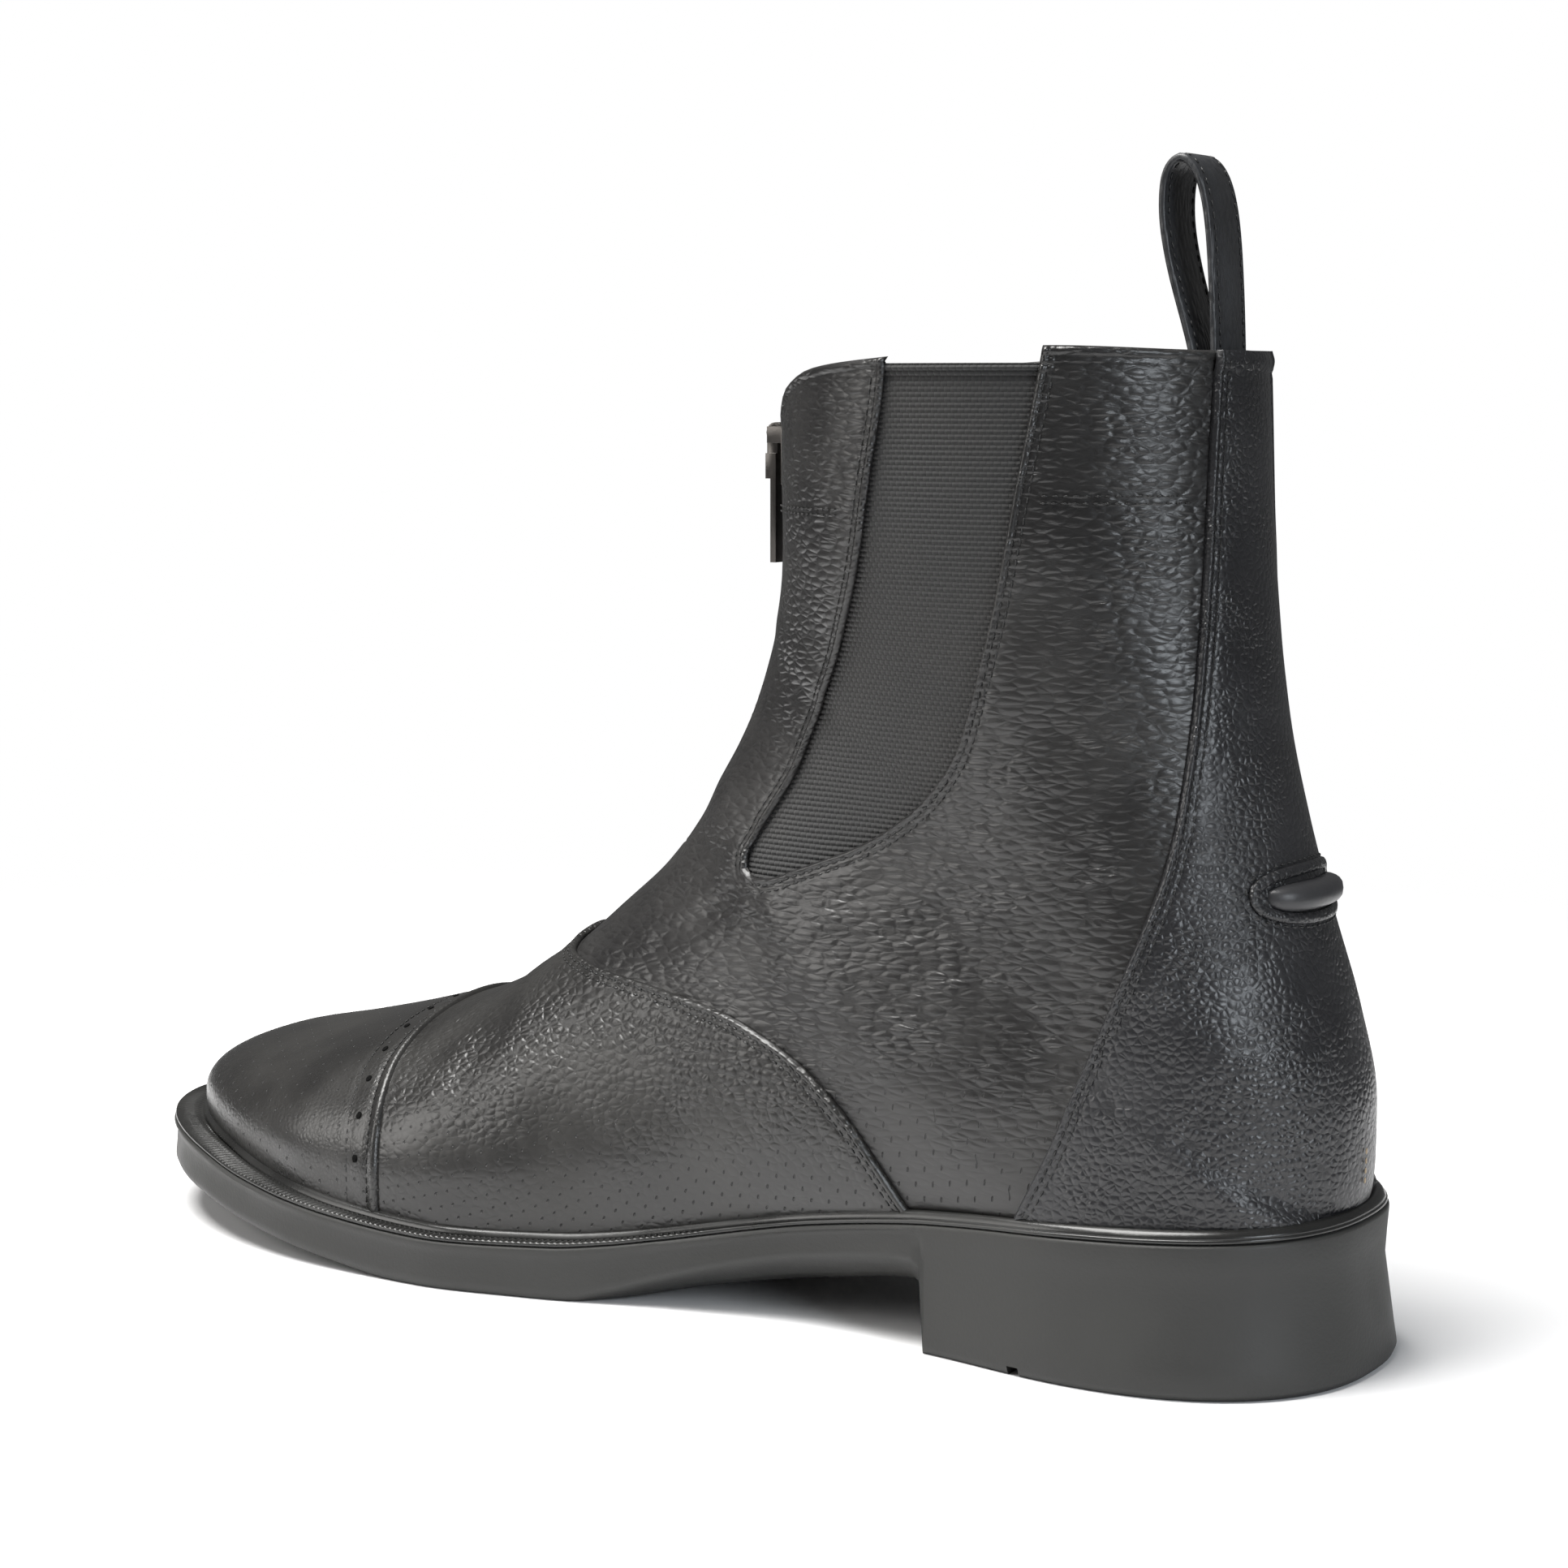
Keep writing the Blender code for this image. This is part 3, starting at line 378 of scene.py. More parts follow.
def piece(name, bm, finishes, stands_for=(), body="boot"):
    """A finished object at the origin, riding on a body."""
    mesh = as_mesh(name, bm)
    for finish in finishes:
        mesh.materials.append(finish)
    mesh.shade_smooth()
    made = in_scene(name, mesh)
    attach(made, body)
    if stands_for:
        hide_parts(*stands_for)
    print("%s: %d faces" % (name, len(mesh.polygons)))
    return made


UPPER_WALL, OVERLAY_WALL, ELASTIC_WALL, TAPE_WALL = 1.9, 0.9, 1.1, 0.8


def wall(made, thickness, inside, rim_finish):
    """Gives a sheet its thickness, inwards. The inside and the rim may have another of its finishes."""
    solid = made.modifiers.new("Thickness", "SOLIDIFY")
    solid.thickness = thickness * MM
    solid.offset = -1.0
    solid.material_offset = inside
    solid.material_offset_rim = rim_finish


# %% [markdown]
# ## Finishes
# The boot is one colour, so its materials differ in relief and gloss: pebbled hide, smooth hide with pinholes,
# woven elastic, moulded rubber and lacquered metal. Effects that several of them use are node groups.


# %% Node helpers
def socket(tree, value, where):
    """Links a socket, or sets a value."""
    if isinstance(value, bpy.types.NodeSocket):
        tree.links.new(value, where)
    else:
        where.default_value = value


def node(tree, kind, inputs=(), **settings):
    made = tree.nodes.new(kind)
    for key, value in settings.items():
        setattr(made, key, value)
    for key, value in dict(inputs).items():
        socket(tree, value, made.inputs[key])
    return made


def sums(tree, operation, *values):
    return node(tree, "ShaderNodeMath", dict(enumerate(values)), operation=operation).outputs[0]


def vectors(tree, operation, *values, output=0):
    return node(tree, "ShaderNodeVectorMath", dict(enumerate(values)), operation=operation).outputs[output]


def noise(tree, vector, scale, detail, output=0):
    inputs = {"Vector": vector, "Scale": scale, "Detail": detail}
    return node(tree, "ShaderNodeTexNoise", inputs).outputs[output]


def span(tree, value, low, high, to_low=0.0, to_high=1.0):
    """A smooth step between two values."""
    inputs = {"Value": value, "From Min": low, "From Max": high, "To Min": to_low, "To Max": to_high}
    return node(tree, "ShaderNodeMapRange", inputs, interpolation_type="SMOOTHSTEP").outputs[0]


def blended(tree, share, first, second):
    """A mix of two colours. A colour mix has its colours at sockets 6 and 7, and its result at 2."""
    return node(tree, "ShaderNodeMix", {0: share, 6: first, 7: second}, data_type="RGBA").outputs[2]


def group(name, inputs, outputs):
    """A new node group with named sockets: (tree, its input node, its output node)."""
    tree = bpy.data.node_groups.new(name, "ShaderNodeTree")
    for title, kind, value in inputs:
        made = tree.interface.new_socket(title, in_out="INPUT", socket_type=kind)
        if value is not None:
            made.default_value = value
    for title, kind in outputs:
        tree.interface.new_socket(title, in_out="OUTPUT", socket_type=kind)
    return tree, tree.nodes.new("NodeGroupInput"), tree.nodes.new("NodeGroupOutput")


FLOAT, VECTOR, COLOUR = "NodeSocketFloat", "NodeSocketVector", "NodeSocketColor"


# %% [markdown]
# ### Hide grain
# Shrunken hide breaks up into pebbles with fine furrows between them. Voronoi cells, bent a little by noise, have
# that outline. A second, finer noise gives the pores. Stretching the vector gives the long wrinkles of the ankle.

# %% Hide grain group
tree, into, out = group(
    "Hide grain",
    [("Vector", VECTOR, None), ("Pebbles per metre", FLOAT, 750.0), ("Bend", FLOAT, 0.0006), ("Pores", FLOAT, 0.2)],
    [("Height", FLOAT), ("Furrow", FLOAT)],
)
centred = vectors(tree, "SUBTRACT", noise(tree, into.outputs[0], 420.0, 2.0, "Color"), (0.5, 0.5, 0.5))
shift = node(tree, "ShaderNodeVectorMath", {0: centred, "Scale": into.outputs[2]}, operation="SCALE")
bent = vectors(tree, "ADD", into.outputs[0], shift.outputs[0])
cells = {"Vector": bent, "Scale": into.outputs[1], "Randomness": 1.0}
edge = node(tree, "ShaderNodeTexVoronoi", cells, feature="DISTANCE_TO_EDGE").outputs["Distance"]
dome = node(tree, "ShaderNodeTexVoronoi", cells, feature="F1").outputs["Distance"]
pores = noise(tree, into.outputs[0], 2600.0, 3.0)
rounded = sums(tree, "MULTIPLY", span(tree, dome, 0.0, 0.85, 1.0, 0.0), 0.75)
pebble = sums(tree, "MULTIPLY_ADD", span(tree, edge, 0.0, 0.30), 0.35, rounded)
tree.links.new(sums(tree, "MULTIPLY_ADD", pores, into.outputs[3], pebble), out.inputs["Height"])
tree.links.new(span(tree, edge, 0.0, 0.12, 1.0, 0.0), out.inputs["Furrow"])
GRAIN = tree

# %% [markdown]
# ### Pinholes
# The smooth parts of this hide are pricked with a staggered lattice of dots. Two square lattices, one shifted by
# half a cell, make it. The vector is the panel's own map, in millimetres.

# %% Pinhole group
tree, into, out = group(
    "Pinholes",
    [("Vector", VECTOR, None), ("Cell", VECTOR, (6.0, 5.4, 1.0)), ("Radius", FLOAT, 0.32)],
    [("Mask", FLOAT)],
)
cell = vectors(tree, "DIVIDE", into.outputs[0], into.outputs[1])
nearest = []
for offset in ((0.0, 0.0, 0.0), (0.5, 0.5, 0.0)):
    part = vectors(tree, "FRACTION", vectors(tree, "ADD", cell, offset))
    part = vectors(tree, "MULTIPLY", vectors(tree, "SUBTRACT", part, (0.5, 0.5, 0.0)), into.outputs[1])
    nearest.append(vectors(tree, "LENGTH", vectors(tree, "MULTIPLY", part, (1.0, 1.0, 0.0)), output="Value"))
closest = sums(tree, "DIVIDE", sums(tree, "MINIMUM", *nearest), into.outputs[2])
tree.links.new(span(tree, closest, 0.55, 1.2, 1.0, 0.0), out.inputs["Mask"])
PINHOLES = tree

# %% [markdown]
# ### Wear patches and painted shade
# Black goods are never one black. Slow noise lifts the colour and the roughness in soft patches, and the
# colour darkens in the furrows: painted shade.

# %% Group for wear patches and painted furrow shade
tree, into, out = group(
    "Handling and furrow shade",
    [("Vector", VECTOR, None), ("Colour", COLOUR, (0.02, 0.02, 0.02, 1)),
     ("Worn colour", COLOUR, (0.04, 0.04, 0.04, 1)), ("Furrow", FLOAT, 0.0), ("Roughness", FLOAT, 0.4),
     ("Spread", FLOAT, 0.12)],
    [("Colour", COLOUR), ("Roughness", FLOAT)],
)
patch = span(tree, noise(tree, into.outputs[0], 45.0, 5.0), 0.35, 0.7)
mixed = blended(tree, sums(tree, "MULTIPLY", patch, 0.6), into.outputs[1], into.outputs[2])
# Painted shade: the furrow mask darkens the colour towards near black.
furrow_shaded = blended(tree, sums(tree, "MULTIPLY", into.outputs[3], 0.35), mixed, (0.008, 0.008, 0.008, 1))
tree.links.new(furrow_shaded, out.inputs["Colour"])
rough = sums(tree, "MULTIPLY_ADD", sums(tree, "SUBTRACT", patch, 0.5), into.outputs[5], into.outputs[4])
tree.links.new(sums(tree, "MULTIPLY_ADD", into.outputs[3], 0.12, rough), out.inputs["Roughness"])
HANDLING_AND_SHADE = tree

# %% [markdown]
# ### Elastic weave
# Boot elastic is woven over rubber threads that run across it, so it shows as fine level ribs crossed by short
# brick-like floats. Sines in the panel's own map give both.

# %% Weave group
tree, into, out = group(
    "Elastic weave",
    [("Vector", VECTOR, None), ("Column", FLOAT, 1.46), ("Row", FLOAT, 1.03)],
    [("Height", FLOAT)],
)
parts = node(tree, "ShaderNodeSeparateXYZ", {0: into.outputs[0]})
row = sums(tree, "DIVIDE", parts.outputs[1], into.outputs[2])
odd = sums(tree, "MULTIPLY", sums(tree, "MODULO", sums(tree, "FLOOR", row), 2.0), 0.5)
column = sums(tree, "ADD", sums(tree, "DIVIDE", parts.outputs[0], into.outputs[1]), odd)
level = sums(tree, "ABSOLUTE", sums(tree, "SINE", sums(tree, "MULTIPLY", row, math.pi)))
float_wave = sums(tree, "ABSOLUTE", sums(tree, "SINE", sums(tree, "MULTIPLY", column, math.pi)))
tree.links.new(sums(tree, "MULTIPLY_ADD", sums(tree, "POWER", float_wave, 0.5), 0.6, level), out.inputs["Height"])
WEAVE = tree


# %% [markdown]
# ### Materials
# Each one keeps its Principled shader outside the groups. Relief goes through one Bump node, in real metres.


# %% Material builder
def use(tree, made, inputs=()):
    """Places a node group."""
    placed = tree.nodes.new("ShaderNodeGroup")
    placed.node_tree = made
    for key, value in dict(inputs).items():
        socket(tree, value, placed.inputs[key])
    return placed


def finish(name, colour, worn, roughness, coat=0.0, metallic=0.0, spread=0.12, specular=0.5, sheen=0.0):
    """A material with wear patches and painted furrow shade: (material, tree, its shader, its coordinates, the group
    that does both).
    """
    made = bpy.data.materials.new(name)
    made.use_nodes = True
    made.diffuse_color = (*colour, 1.0)
    tree = made.node_tree
    shader = tree.nodes["Principled BSDF"]
    shader.inputs["Metallic"].default_value = metallic
    shader.inputs["Coat Weight"].default_value = coat
    shader.inputs["Coat Roughness"].default_value = 0.28
    shader.inputs["Specular IOR Level"].default_value = specular
    shader.inputs["Sheen Weight"].default_value = sheen
    where = tree.nodes.new("ShaderNodeTexCoord")
    handling_and_shade = use(tree, HANDLING_AND_SHADE, {"Vector": where.outputs["Object"], "Colour": (*colour, 1), "Roughness": roughness,
                                   "Worn colour": (*worn, 1), "Spread": spread})
    tree.links.new(handling_and_shade.outputs["Colour"], shader.inputs["Base Color"])
    tree.links.new(handling_and_shade.outputs["Roughness"], shader.inputs["Roughness"])
    return made, tree, shader, where, handling_and_shade


def relief(tree, shader, height, distance, strength=1.0):
    bump = node(tree, "ShaderNodeBump", {"Height": height, "Distance": distance, "Strength": strength})
    tree.links.new(bump.outputs[0], shader.inputs["Normal"])


def hide(name, colour, worn, roughness, pebbles, stretch, depth, dots=None, fade=None, coat=0.1,
         hole_depth=1.2):
    """Leather: pebbled grain, and pinholes where the hide is smooth.
    fade = (low z, high z) in metres: the hide is smooth and pricked below it, and pebbled above."""
    made, tree, shader, where, handling_and_shade = finish(name, colour, worn, roughness, coat)
    placed = node(tree, "ShaderNodeMapping", {0: where.outputs["Object"], "Scale": stretch}, vector_type="POINT")
    grain = use(tree, GRAIN, {"Vector": placed.outputs[0], "Pebbles per metre": pebbles})
    slow = noise(tree, where.outputs["Object"], 70.0, 2.0)
    strength = span(tree, slow, 0.3, 0.7, 0.45, 1.0)
    pebbled = None
    if fade:
        z = node(tree, "ShaderNodeSeparateXYZ", {0: where.outputs["Object"]}).outputs[2]
        edge = sums(tree, "MULTIPLY_ADD", slow, 0.02, z)
        pebbled = span(tree, edge, fade[0] + 0.01, fade[1] + 0.01)
        strength = sums(tree, "MULTIPLY", strength, sums(tree, "MULTIPLY_ADD", pebbled, 0.8, 0.2))
    height = sums(tree, "MULTIPLY", grain.outputs["Height"], strength)
    # The furrow mask paints shade into the colour: darker in the grain's furrows.
    furrow = sums(tree, "MULTIPLY", grain.outputs["Furrow"], strength)
    if dots:
        holes = use(tree, PINHOLES, {"Vector": where.outputs["UV"], "Cell": (*dots[:2], 1.0), "Radius": dots[2]})
        mask = holes.outputs[0]
        if pebbled:
            mask = sums(tree, "MULTIPLY", mask, sums(tree, "SUBTRACT", 1.0, pebbled))
        height = sums(tree, "SUBTRACT", height, sums(tree, "MULTIPLY", mask, hole_depth))
        # Painted shade in the pinholes: they darken through the furrow mask too.
        furrow = sums(tree, "MAXIMUM", furrow, sums(tree, "MULTIPLY", mask, 2.4))
    tree.links.new(furrow, handling_and_shade.inputs["Furrow"])
    relief(tree, shader, height, depth)
    return made


# %% Leathers
QUARTER_HIDE = hide("Quarter hide", (0.013, 0.0125, 0.0125), (0.026, 0.025, 0.024), 0.34, 480.0, (0.75, 0.5, 1.45),
                    0.00030, (6.0, 2.8, 0.28), (0.030, 0.062))
VAMP_HIDE = hide("Vamp hide", (0.014, 0.0135, 0.013), (0.027, 0.026, 0.024), 0.34, 560.0, (1.0, 0.8, 1.15),
                 0.00030, (6.0, 2.8, 0.28), (0.026, 0.050))
CAP_HIDE = hide("Toe cap hide", (0.014, 0.0135, 0.013), (0.026, 0.025, 0.023), 0.32, 900.0, (1.0, 1.0, 1.0),
                0.00006, (5.8, 5.4, 0.34), coat=0.2, hole_depth=4.0)
# The back panel and the strap are a little bluer than the quarters: painted sheen of the cool light from behind the
# heel.
BACK_HIDE = hide("Back panel hide", (0.013, 0.013, 0.0145), (0.025, 0.025, 0.027), 0.33, 640.0, (1.0, 1.0, 1.15),
                 0.00026)
STRAP_HIDE = hide("Strap hide", (0.014, 0.0145, 0.016), (0.040, 0.042, 0.046), 0.40, 420.0, (1.4, 1.4, 0.5), 0.00022)
EDGE_HIDE = hide("Cut leather edge", (0.008, 0.008, 0.008), (0.014, 0.0135, 0.013), 0.6, 1200.0, (1, 1, 1), 0.00008)

# %% Cloths, rubber, metal and thread
def fine_grained(name, colour, worn, roughness, scale, detail, depth, **looks):
    """A material whose relief is one fine noise."""
    made, tree, shader, where, _ = finish(name, colour, worn, roughness, **looks)
    relief(tree, shader, noise(tree, where.outputs["Object"], scale, detail), depth)
    return made


LINING = fine_grained("Black lining", (0.022, 0.022, 0.022), (0.03, 0.03, 0.03), 0.9, 1800.0, 3.0, 0.0002)
RUBBER = fine_grained("Moulded rubber", (0.024, 0.024, 0.0228), (0.033, 0.033, 0.031), 0.55, 1500.0, 4.0, 0.00007,
                      specular=0.4)
BEAD = fine_grained("Polished welt rubber", (0.013, 0.013, 0.0125), (0.022, 0.022, 0.021), 0.28, 700.0, 2.0,
                    0.00003)
SATIN = fine_grained("Satin spur rubber", (0.026, 0.026, 0.028), (0.044, 0.044, 0.046), 0.38, 900.0, 3.0, 0.00004)
METAL = fine_grained("Lacquered metal", (0.075, 0.070, 0.066), (0.12, 0.11, 0.10), 0.36, 2200.0, 2.0, 0.00002,
                     metallic=0.85)

ELASTIC, tree, shader, where, handling_and_shade = finish("Woven elastic", (0.021, 0.021, 0.021), (0.034, 0.033, 0.032), 0.8,
                                               specular=0.3, sheen=0.15)
weave = use(tree, WEAVE, {"Vector": where.outputs["UV"]})
relief(tree, shader, weave.outputs[0], 0.00035)
# Painted shade: the hollows of the weave darken through the furrow mask.
tree.links.new(span(tree, weave.outputs[0], 0.1, 0.9, 1.0, 0.0), handling_and_shade.inputs["Furrow"])

THREAD, tree, shader, where, handling_and_shade = finish("Waxed thread", (0.012, 0.012, 0.012), (0.02, 0.02, 0.02), 0.5)
twist = node(tree, "ShaderNodeTexWave", {"Vector": where.outputs["Object"], "Scale": 900.0, "Distortion": 2.0})
relief(tree, shader, twist.outputs["Fac"], 0.00008)

# Near black: painted shade inside the punched holes.
HOLE_SHADE, *_ = finish("Painted hole shade", (0.002, 0.002, 0.002), (0.003, 0.003, 0.003), 0.9, specular=0.1)
BARE_THREAD, *_ = finish("Beige thread", (0.35, 0.27, 0.18), (0.4, 0.32, 0.22), 0.8)
print("materials:", len(bpy.data.materials))

# %% [markdown]
# ## Where the leather is thicker or thinner
# A folded edge is round, and a row of stitches pulls the leather down beside it. Both are heights over the last,
# read from the distance to the seam. Creases are soft troughs, listed where the ankle and toes bend.

# %% Folds and creases
STITCH_ROWS = {"cap": (3.2, 9.0), "vamp": (1.6, 2.9), "back": (1.7, 3.1), "gusset": (1.6, 3.0)}
CREASES = (
    # side view run (s, z), depth, width
    (((112, 84), (96, 88), (80, 96), (66, 106)), 0.35, 3.2),
    (((120, 76), (100, 78), (78, 86), (58, 98)), 0.30, 3.6),
    (((132, 84), (140, 78), (150, 74)), 0.40, 3.0),
    (((136, 92), (143, 86), (152, 82)), 0.35, 2.6),
    (((128, 98), (136, 95), (146, 92)), 0.30, 2.4),
    (((60, 120), (48, 124), (36, 126)), 0.28, 4.5),
    (((62, 146), (48, 148), (34, 150)), 0.22, 5.0),
    (((196, 58), (200, 50), (203, 40)), 0.25, 3.4),
    (((186, 62), (190, 52), (192, 42)), 0.22, 3.6),
)


def folded(distance, full, roundness=0.8):
    t = np.clip(distance / roundness, 0.0, 1.0)
    return full * np.sqrt(np.maximum(1 - (1 - t) ** 2, 0.0))


def furrows(distance, rows, depth=0.22, width=0.42):
    return -sum(depth * np.exp(-(((distance - row) / width) ** 2)) for row in rows)


def creased(points):
    """Soft troughs with a low ridge at each side."""
    total = np.zeros(points.shape[:-1])
    side_view = np.stack([ORIGIN_S - points[..., 1], points[..., 2], np.zeros(total.shape)], axis=-1)
    for run, depth, width in CREASES:
        line = np.array([(s, z, 0.0) for s, z in run])
        away = distance_to(line, side_view) / width
        total += depth * (0.45 * np.exp(-((away - 1.8) ** 2)) - np.exp(-(away**2)))
    return total


# %% [markdown]
# ## The upper
# The upper is one sheet: ribs one way, angles the other. Each side is split by the elastic's opening, so the
# grid has a slit there, and the columns crowd towards its edges. Solidify gives it its wall and its lining.

# %% Places of the rows and columns
EDGE_STEPS = np.array([0.0, 0.1, 0.25, 0.45, 0.7, 1.0, 1.3, 1.6, 1.9, 2.3, 2.7, 3.0, 3.4, 4.0, 5.0])
EDGE_SHARE = 0.42
FRONT_COLUMNS, REAR_COLUMNS, BACK_COLUMNS = 44, 50, 40


def edge_steps(length):
    """The distances of the rows by an edge. They close up where the run is short."""
    return EDGE_STEPS * np.minimum(1.0, EDGE_SHARE * length / EDGE_STEPS[-1])


def spaced(length, spacing):
    """Distances from 0 to length, crowded at the far end."""
    crowded = length - edge_steps(length)[::-1]
    count = max(int(crowded[0] / spacing), 2)
    return np.concatenate([np.linspace(0.0, crowded[0], count), crowded[1:]])


def along_rib(u, low, high, places):
    """Angles between two on one rib, at the distances that places(length of the run) gives."""
    angles = np.linspace(low, high, 60)
    path = last(np.full(60, u), angles)
    length = np.concatenate([[0.0], np.linalg.norm(np.diff(path, axis=0), axis=1).cumsum()])
    return np.interp(places(length[-1]), length, angles)


TIP_STEPS = np.array([
    -0.24, -0.16, -0.1, -0.06, -0.03, 0.0, 0.004, 0.012, 0.025, 0.045, 0.07, 0.1, 0.14, 0.19, 0.24, 0.3,
])


def rib_rows(spacing, low=0.0, extra=()):
    """Ribs a distance apart down the side of the last, crowded at the collar and at the given ribs."""
    ribs = np.linspace(low, LAST_RIB, 500)
    path = last(ribs, np.full(500, 1.9))
    length = np.concatenate([[0.0], np.linalg.norm(np.diff(path, axis=0), axis=1).cumsum()])
    rows = np.interp(spaced(length[-1], spacing), length, ribs)
    rows = np.concatenate([rows, *[tip + TIP_STEPS for tip in extra]])
    return np.unique(rows.round(5))


# %% Upper: rib by rib
HALF_SLOT = 3.6


def zip_angle(u, side):
    """The angle of the zip slot's edge: 0 below its foot."""
    open_by = math.sqrt(min(max((u - ZIP_RIB) / 0.35, 0.0), 1.0)) * HALF_SLOT
    if open_by == 0.0:
        return 0.0
    angles = np.linspace(0.0, 0.6, 200)
    return float(np.interp(open_by, np.abs(last(np.full(200, u), side * angles)[:, 0] - HEEL_X), angles))


def edge_spread(count, both_ends):
    """A fixed number of columns for any run: true distances at its edges, even between."""

    def places(length):
        first = edge_steps(length)
        between = count - (len(EDGE_STEPS) - 1) * (1 + both_ends)
        high = length - first[-1] if both_ends else length
        crowded = (length - first[::-1])[1:] if both_ends else []
        return np.concatenate([first[:-1], np.linspace(first[-1], high, between), crowded])

    return places


def upper_side(side):
    """(ribs, angles) of one side's sheet: the columns run from the zip to the heel, with the slit doubled."""
    ribs = rib_rows(2.0, 0.0, (TIP_RIB, ZIP_RIB + 0.15))
    front, rear = opening_angles(ribs, side)
    tip = ribs[ribs >= TIP_RIB][0]
    tip_angle = front[ribs == tip][0]
    front_places, rear_places = edge_spread(FRONT_COLUMNS, True), edge_spread(REAR_COLUMNS, False)
    rows = []
    for k, u in enumerate(ribs):
        start = zip_angle(u, side)
        low, high = (front[k], rear[k]) if u > tip else (tip_angle, tip_angle)
        rows.append(np.concatenate([
            along_rib(u, start, low, front_places), along_rib(u, high, math.pi, rear_places)
        ]))
    return ribs, side * np.array(rows)


def gusset_outline(side):
    """The opening's edge as points: down the front edge, round the tip and up the rear edge."""
    ribs = TIP_RIB + (LAST_RIB - TIP_RIB) * np.linspace(0.0, 1.0, 180) ** 2
    front, rear = (last(ribs, side * angles) for angles in opening_angles(ribs, side))
    return np.concatenate([front[::-1], rear])


def upper_height(points, side):
    """Height over the last: rounded edges at the opening, the zip and the collar, stitch furrows and creases."""
    to_opening = distance_to(gusset_outline(side), points)
    collar = last(np.full(90, LAST_RIB), side * np.linspace(0.0, math.pi, 90))
    to_collar = distance_to(collar, points)
    ribs = np.linspace(ZIP_RIB, LAST_RIB, 60)
    slot = last(ribs, side * np.array([zip_angle(v, side) for v in ribs]))
    to_zip = distance_to(slot, points)
    height = folded(to_opening, 1.0) + folded(to_collar, 1.0) + folded(to_zip, 0.8) - 2.8
    height += furrows(to_opening, STITCH_ROWS["gusset"]) + furrows(to_collar, (2.1, 3.6)) + furrows(to_zip, (1.8,))
    height += 0.3 * np.exp(-(((to_opening - 0.8) / 0.7) ** 2)) + 0.2 * np.exp(-(((to_collar - 0.9) / 0.7) ** 2))
    return height + creased(points)


# %% Upper: the sheet
def upper_sheet(side):
    ribs, angles = upper_side(side)
    u = np.repeat(ribs[:, None], angles.shape[1], axis=1)
    points, normals = last(u, angles), outward(u, angles)
    shaped = points + normals * upper_height(points, side)[..., None]
    return ribs, shaped, normals


joined = bmesh.new()
for side in (OUTER, INNER):
    ribs, shaped, normals = upper_sheet(side)
    tip_row = int(np.argmax(ribs >= TIP_RIB))
    half = pulled_grid(shaped, measured(shaped, 0), normals, lambda rows, columns: (
        columns == {FRONT_COLUMNS - 1, FRONT_COLUMNS} and min(rows) >= tip_row))
    store = as_mesh("upper_side", half)
    joined.from_mesh(store)
    bpy.data.meshes.remove(store)
bmesh.ops.remove_doubles(joined, verts=joined.verts, dist=SAME_SEAM)
upper = piece("dressed_upper", joined, [QUARTER_HIDE, LINING, EDGE_HIDE], ("upper",))
wall(upper, UPPER_WALL, 1, 2)

# %% [markdown]
# ## Toe cap, vamp and back panel
# Each overlay is a sheet between two seams. Its rows lie at true distances from a seam, so its folded edge and
# its furrows stay crisp, and it settles onto the upper at its edges.


# %% Sheet between two lines
def between(first, second, near_first, near_second, count):
    """Rows of (rib, angle) pairs from one line to the other, crowded where told."""
    gap = np.linalg.norm(last(*first.T) - last(*second.T), axis=1)
    squeeze = np.minimum(1.0, EDGE_SHARE * gap / EDGE_STEPS[-1])
    start = [offset_pair(first, second, d * squeeze) for d in EDGE_STEPS] if near_first else [first]
    finish_at = [offset_pair(second, first, d * squeeze) for d in EDGE_STEPS[::-1]] if near_second else [second]
    middle = [start[-1] + (finish_at[0] - start[-1]) * t for t in np.linspace(0, 1, count + 2)[1:-1]]
    return np.array(start + middle + finish_at)


def offset_pair(line, other, distance):
    """A line moved towards another, by a distance at each of its points."""
    left, right = beside(line, 1.0), beside(line, -1.0)
    aim = last(*other.T)
    to_left = np.linalg.norm(last(*left.T) - aim, axis=1)
    to_right = np.linalg.norm(last(*right.T) - aim, axis=1)
    side = -1.0 if np.median(to_left - to_right) > 0 else 1.0
    one = left if side > 0 else right
    step = one - line
    return line + step * np.asarray(distance)[..., None]


def overlay(name, rows, height, material, node_name):
    """A closed thin sheet on the upper."""
    u, angle = np.clip(rows[..., 0], 0.0, LAST_RIB), np.clip(rows[..., 1], -math.pi, math.pi)
    points, normals = last(u, angle), outward(u, angle)
    shaped = points + normals * (height(points) + creased(points))[..., None]
    bm = pulled_grid(shaped, measured(shaped, shaped.shape[1] // 2), normals)
    wall(piece(name, bm, [material, EDGE_HIDE], (node_name,)), OVERLAY_WALL, 1, 1)


# %% Toe cap
cap_points = last(*cap_edge.T)
toe_tip = np.stack([np.zeros(len(CAP_ANGLES)), CAP_ANGLES], axis=-1)


def cap_height(points):
    away = distance_to(cap_points, points)
    roll = 0.45 * np.exp(-(((away - 1.2) / 0.9) ** 2))
    return folded(away, 1.75) + 0.1 + roll + furrows(away, STITCH_ROWS["cap"], 0.3)


cap_rows = between(cap_edge, toe_tip, True, False, 60)
LAST_NEAR, FIRST_FAR = 14, 22
finer = between(cap_rows[LAST_NEAR], cap_rows[FIRST_FAR], False, False, 14)[1:-1]
cap_rows = np.concatenate([cap_rows[: LAST_NEAR + 1], finer, cap_rows[FIRST_FAR:]])
overlay("stitched_toe_cap", cap_rows, cap_height, CAP_HIDE, "toe_cap")

# %% Vamp
under_cap = np.stack([np.interp(VAMP_ANGLES, CAP_ANGLES, cap_edge[:, 0]) - 0.05, VAMP_ANGLES], axis=-1)
vamp_points = last(*vamp_edge.T)


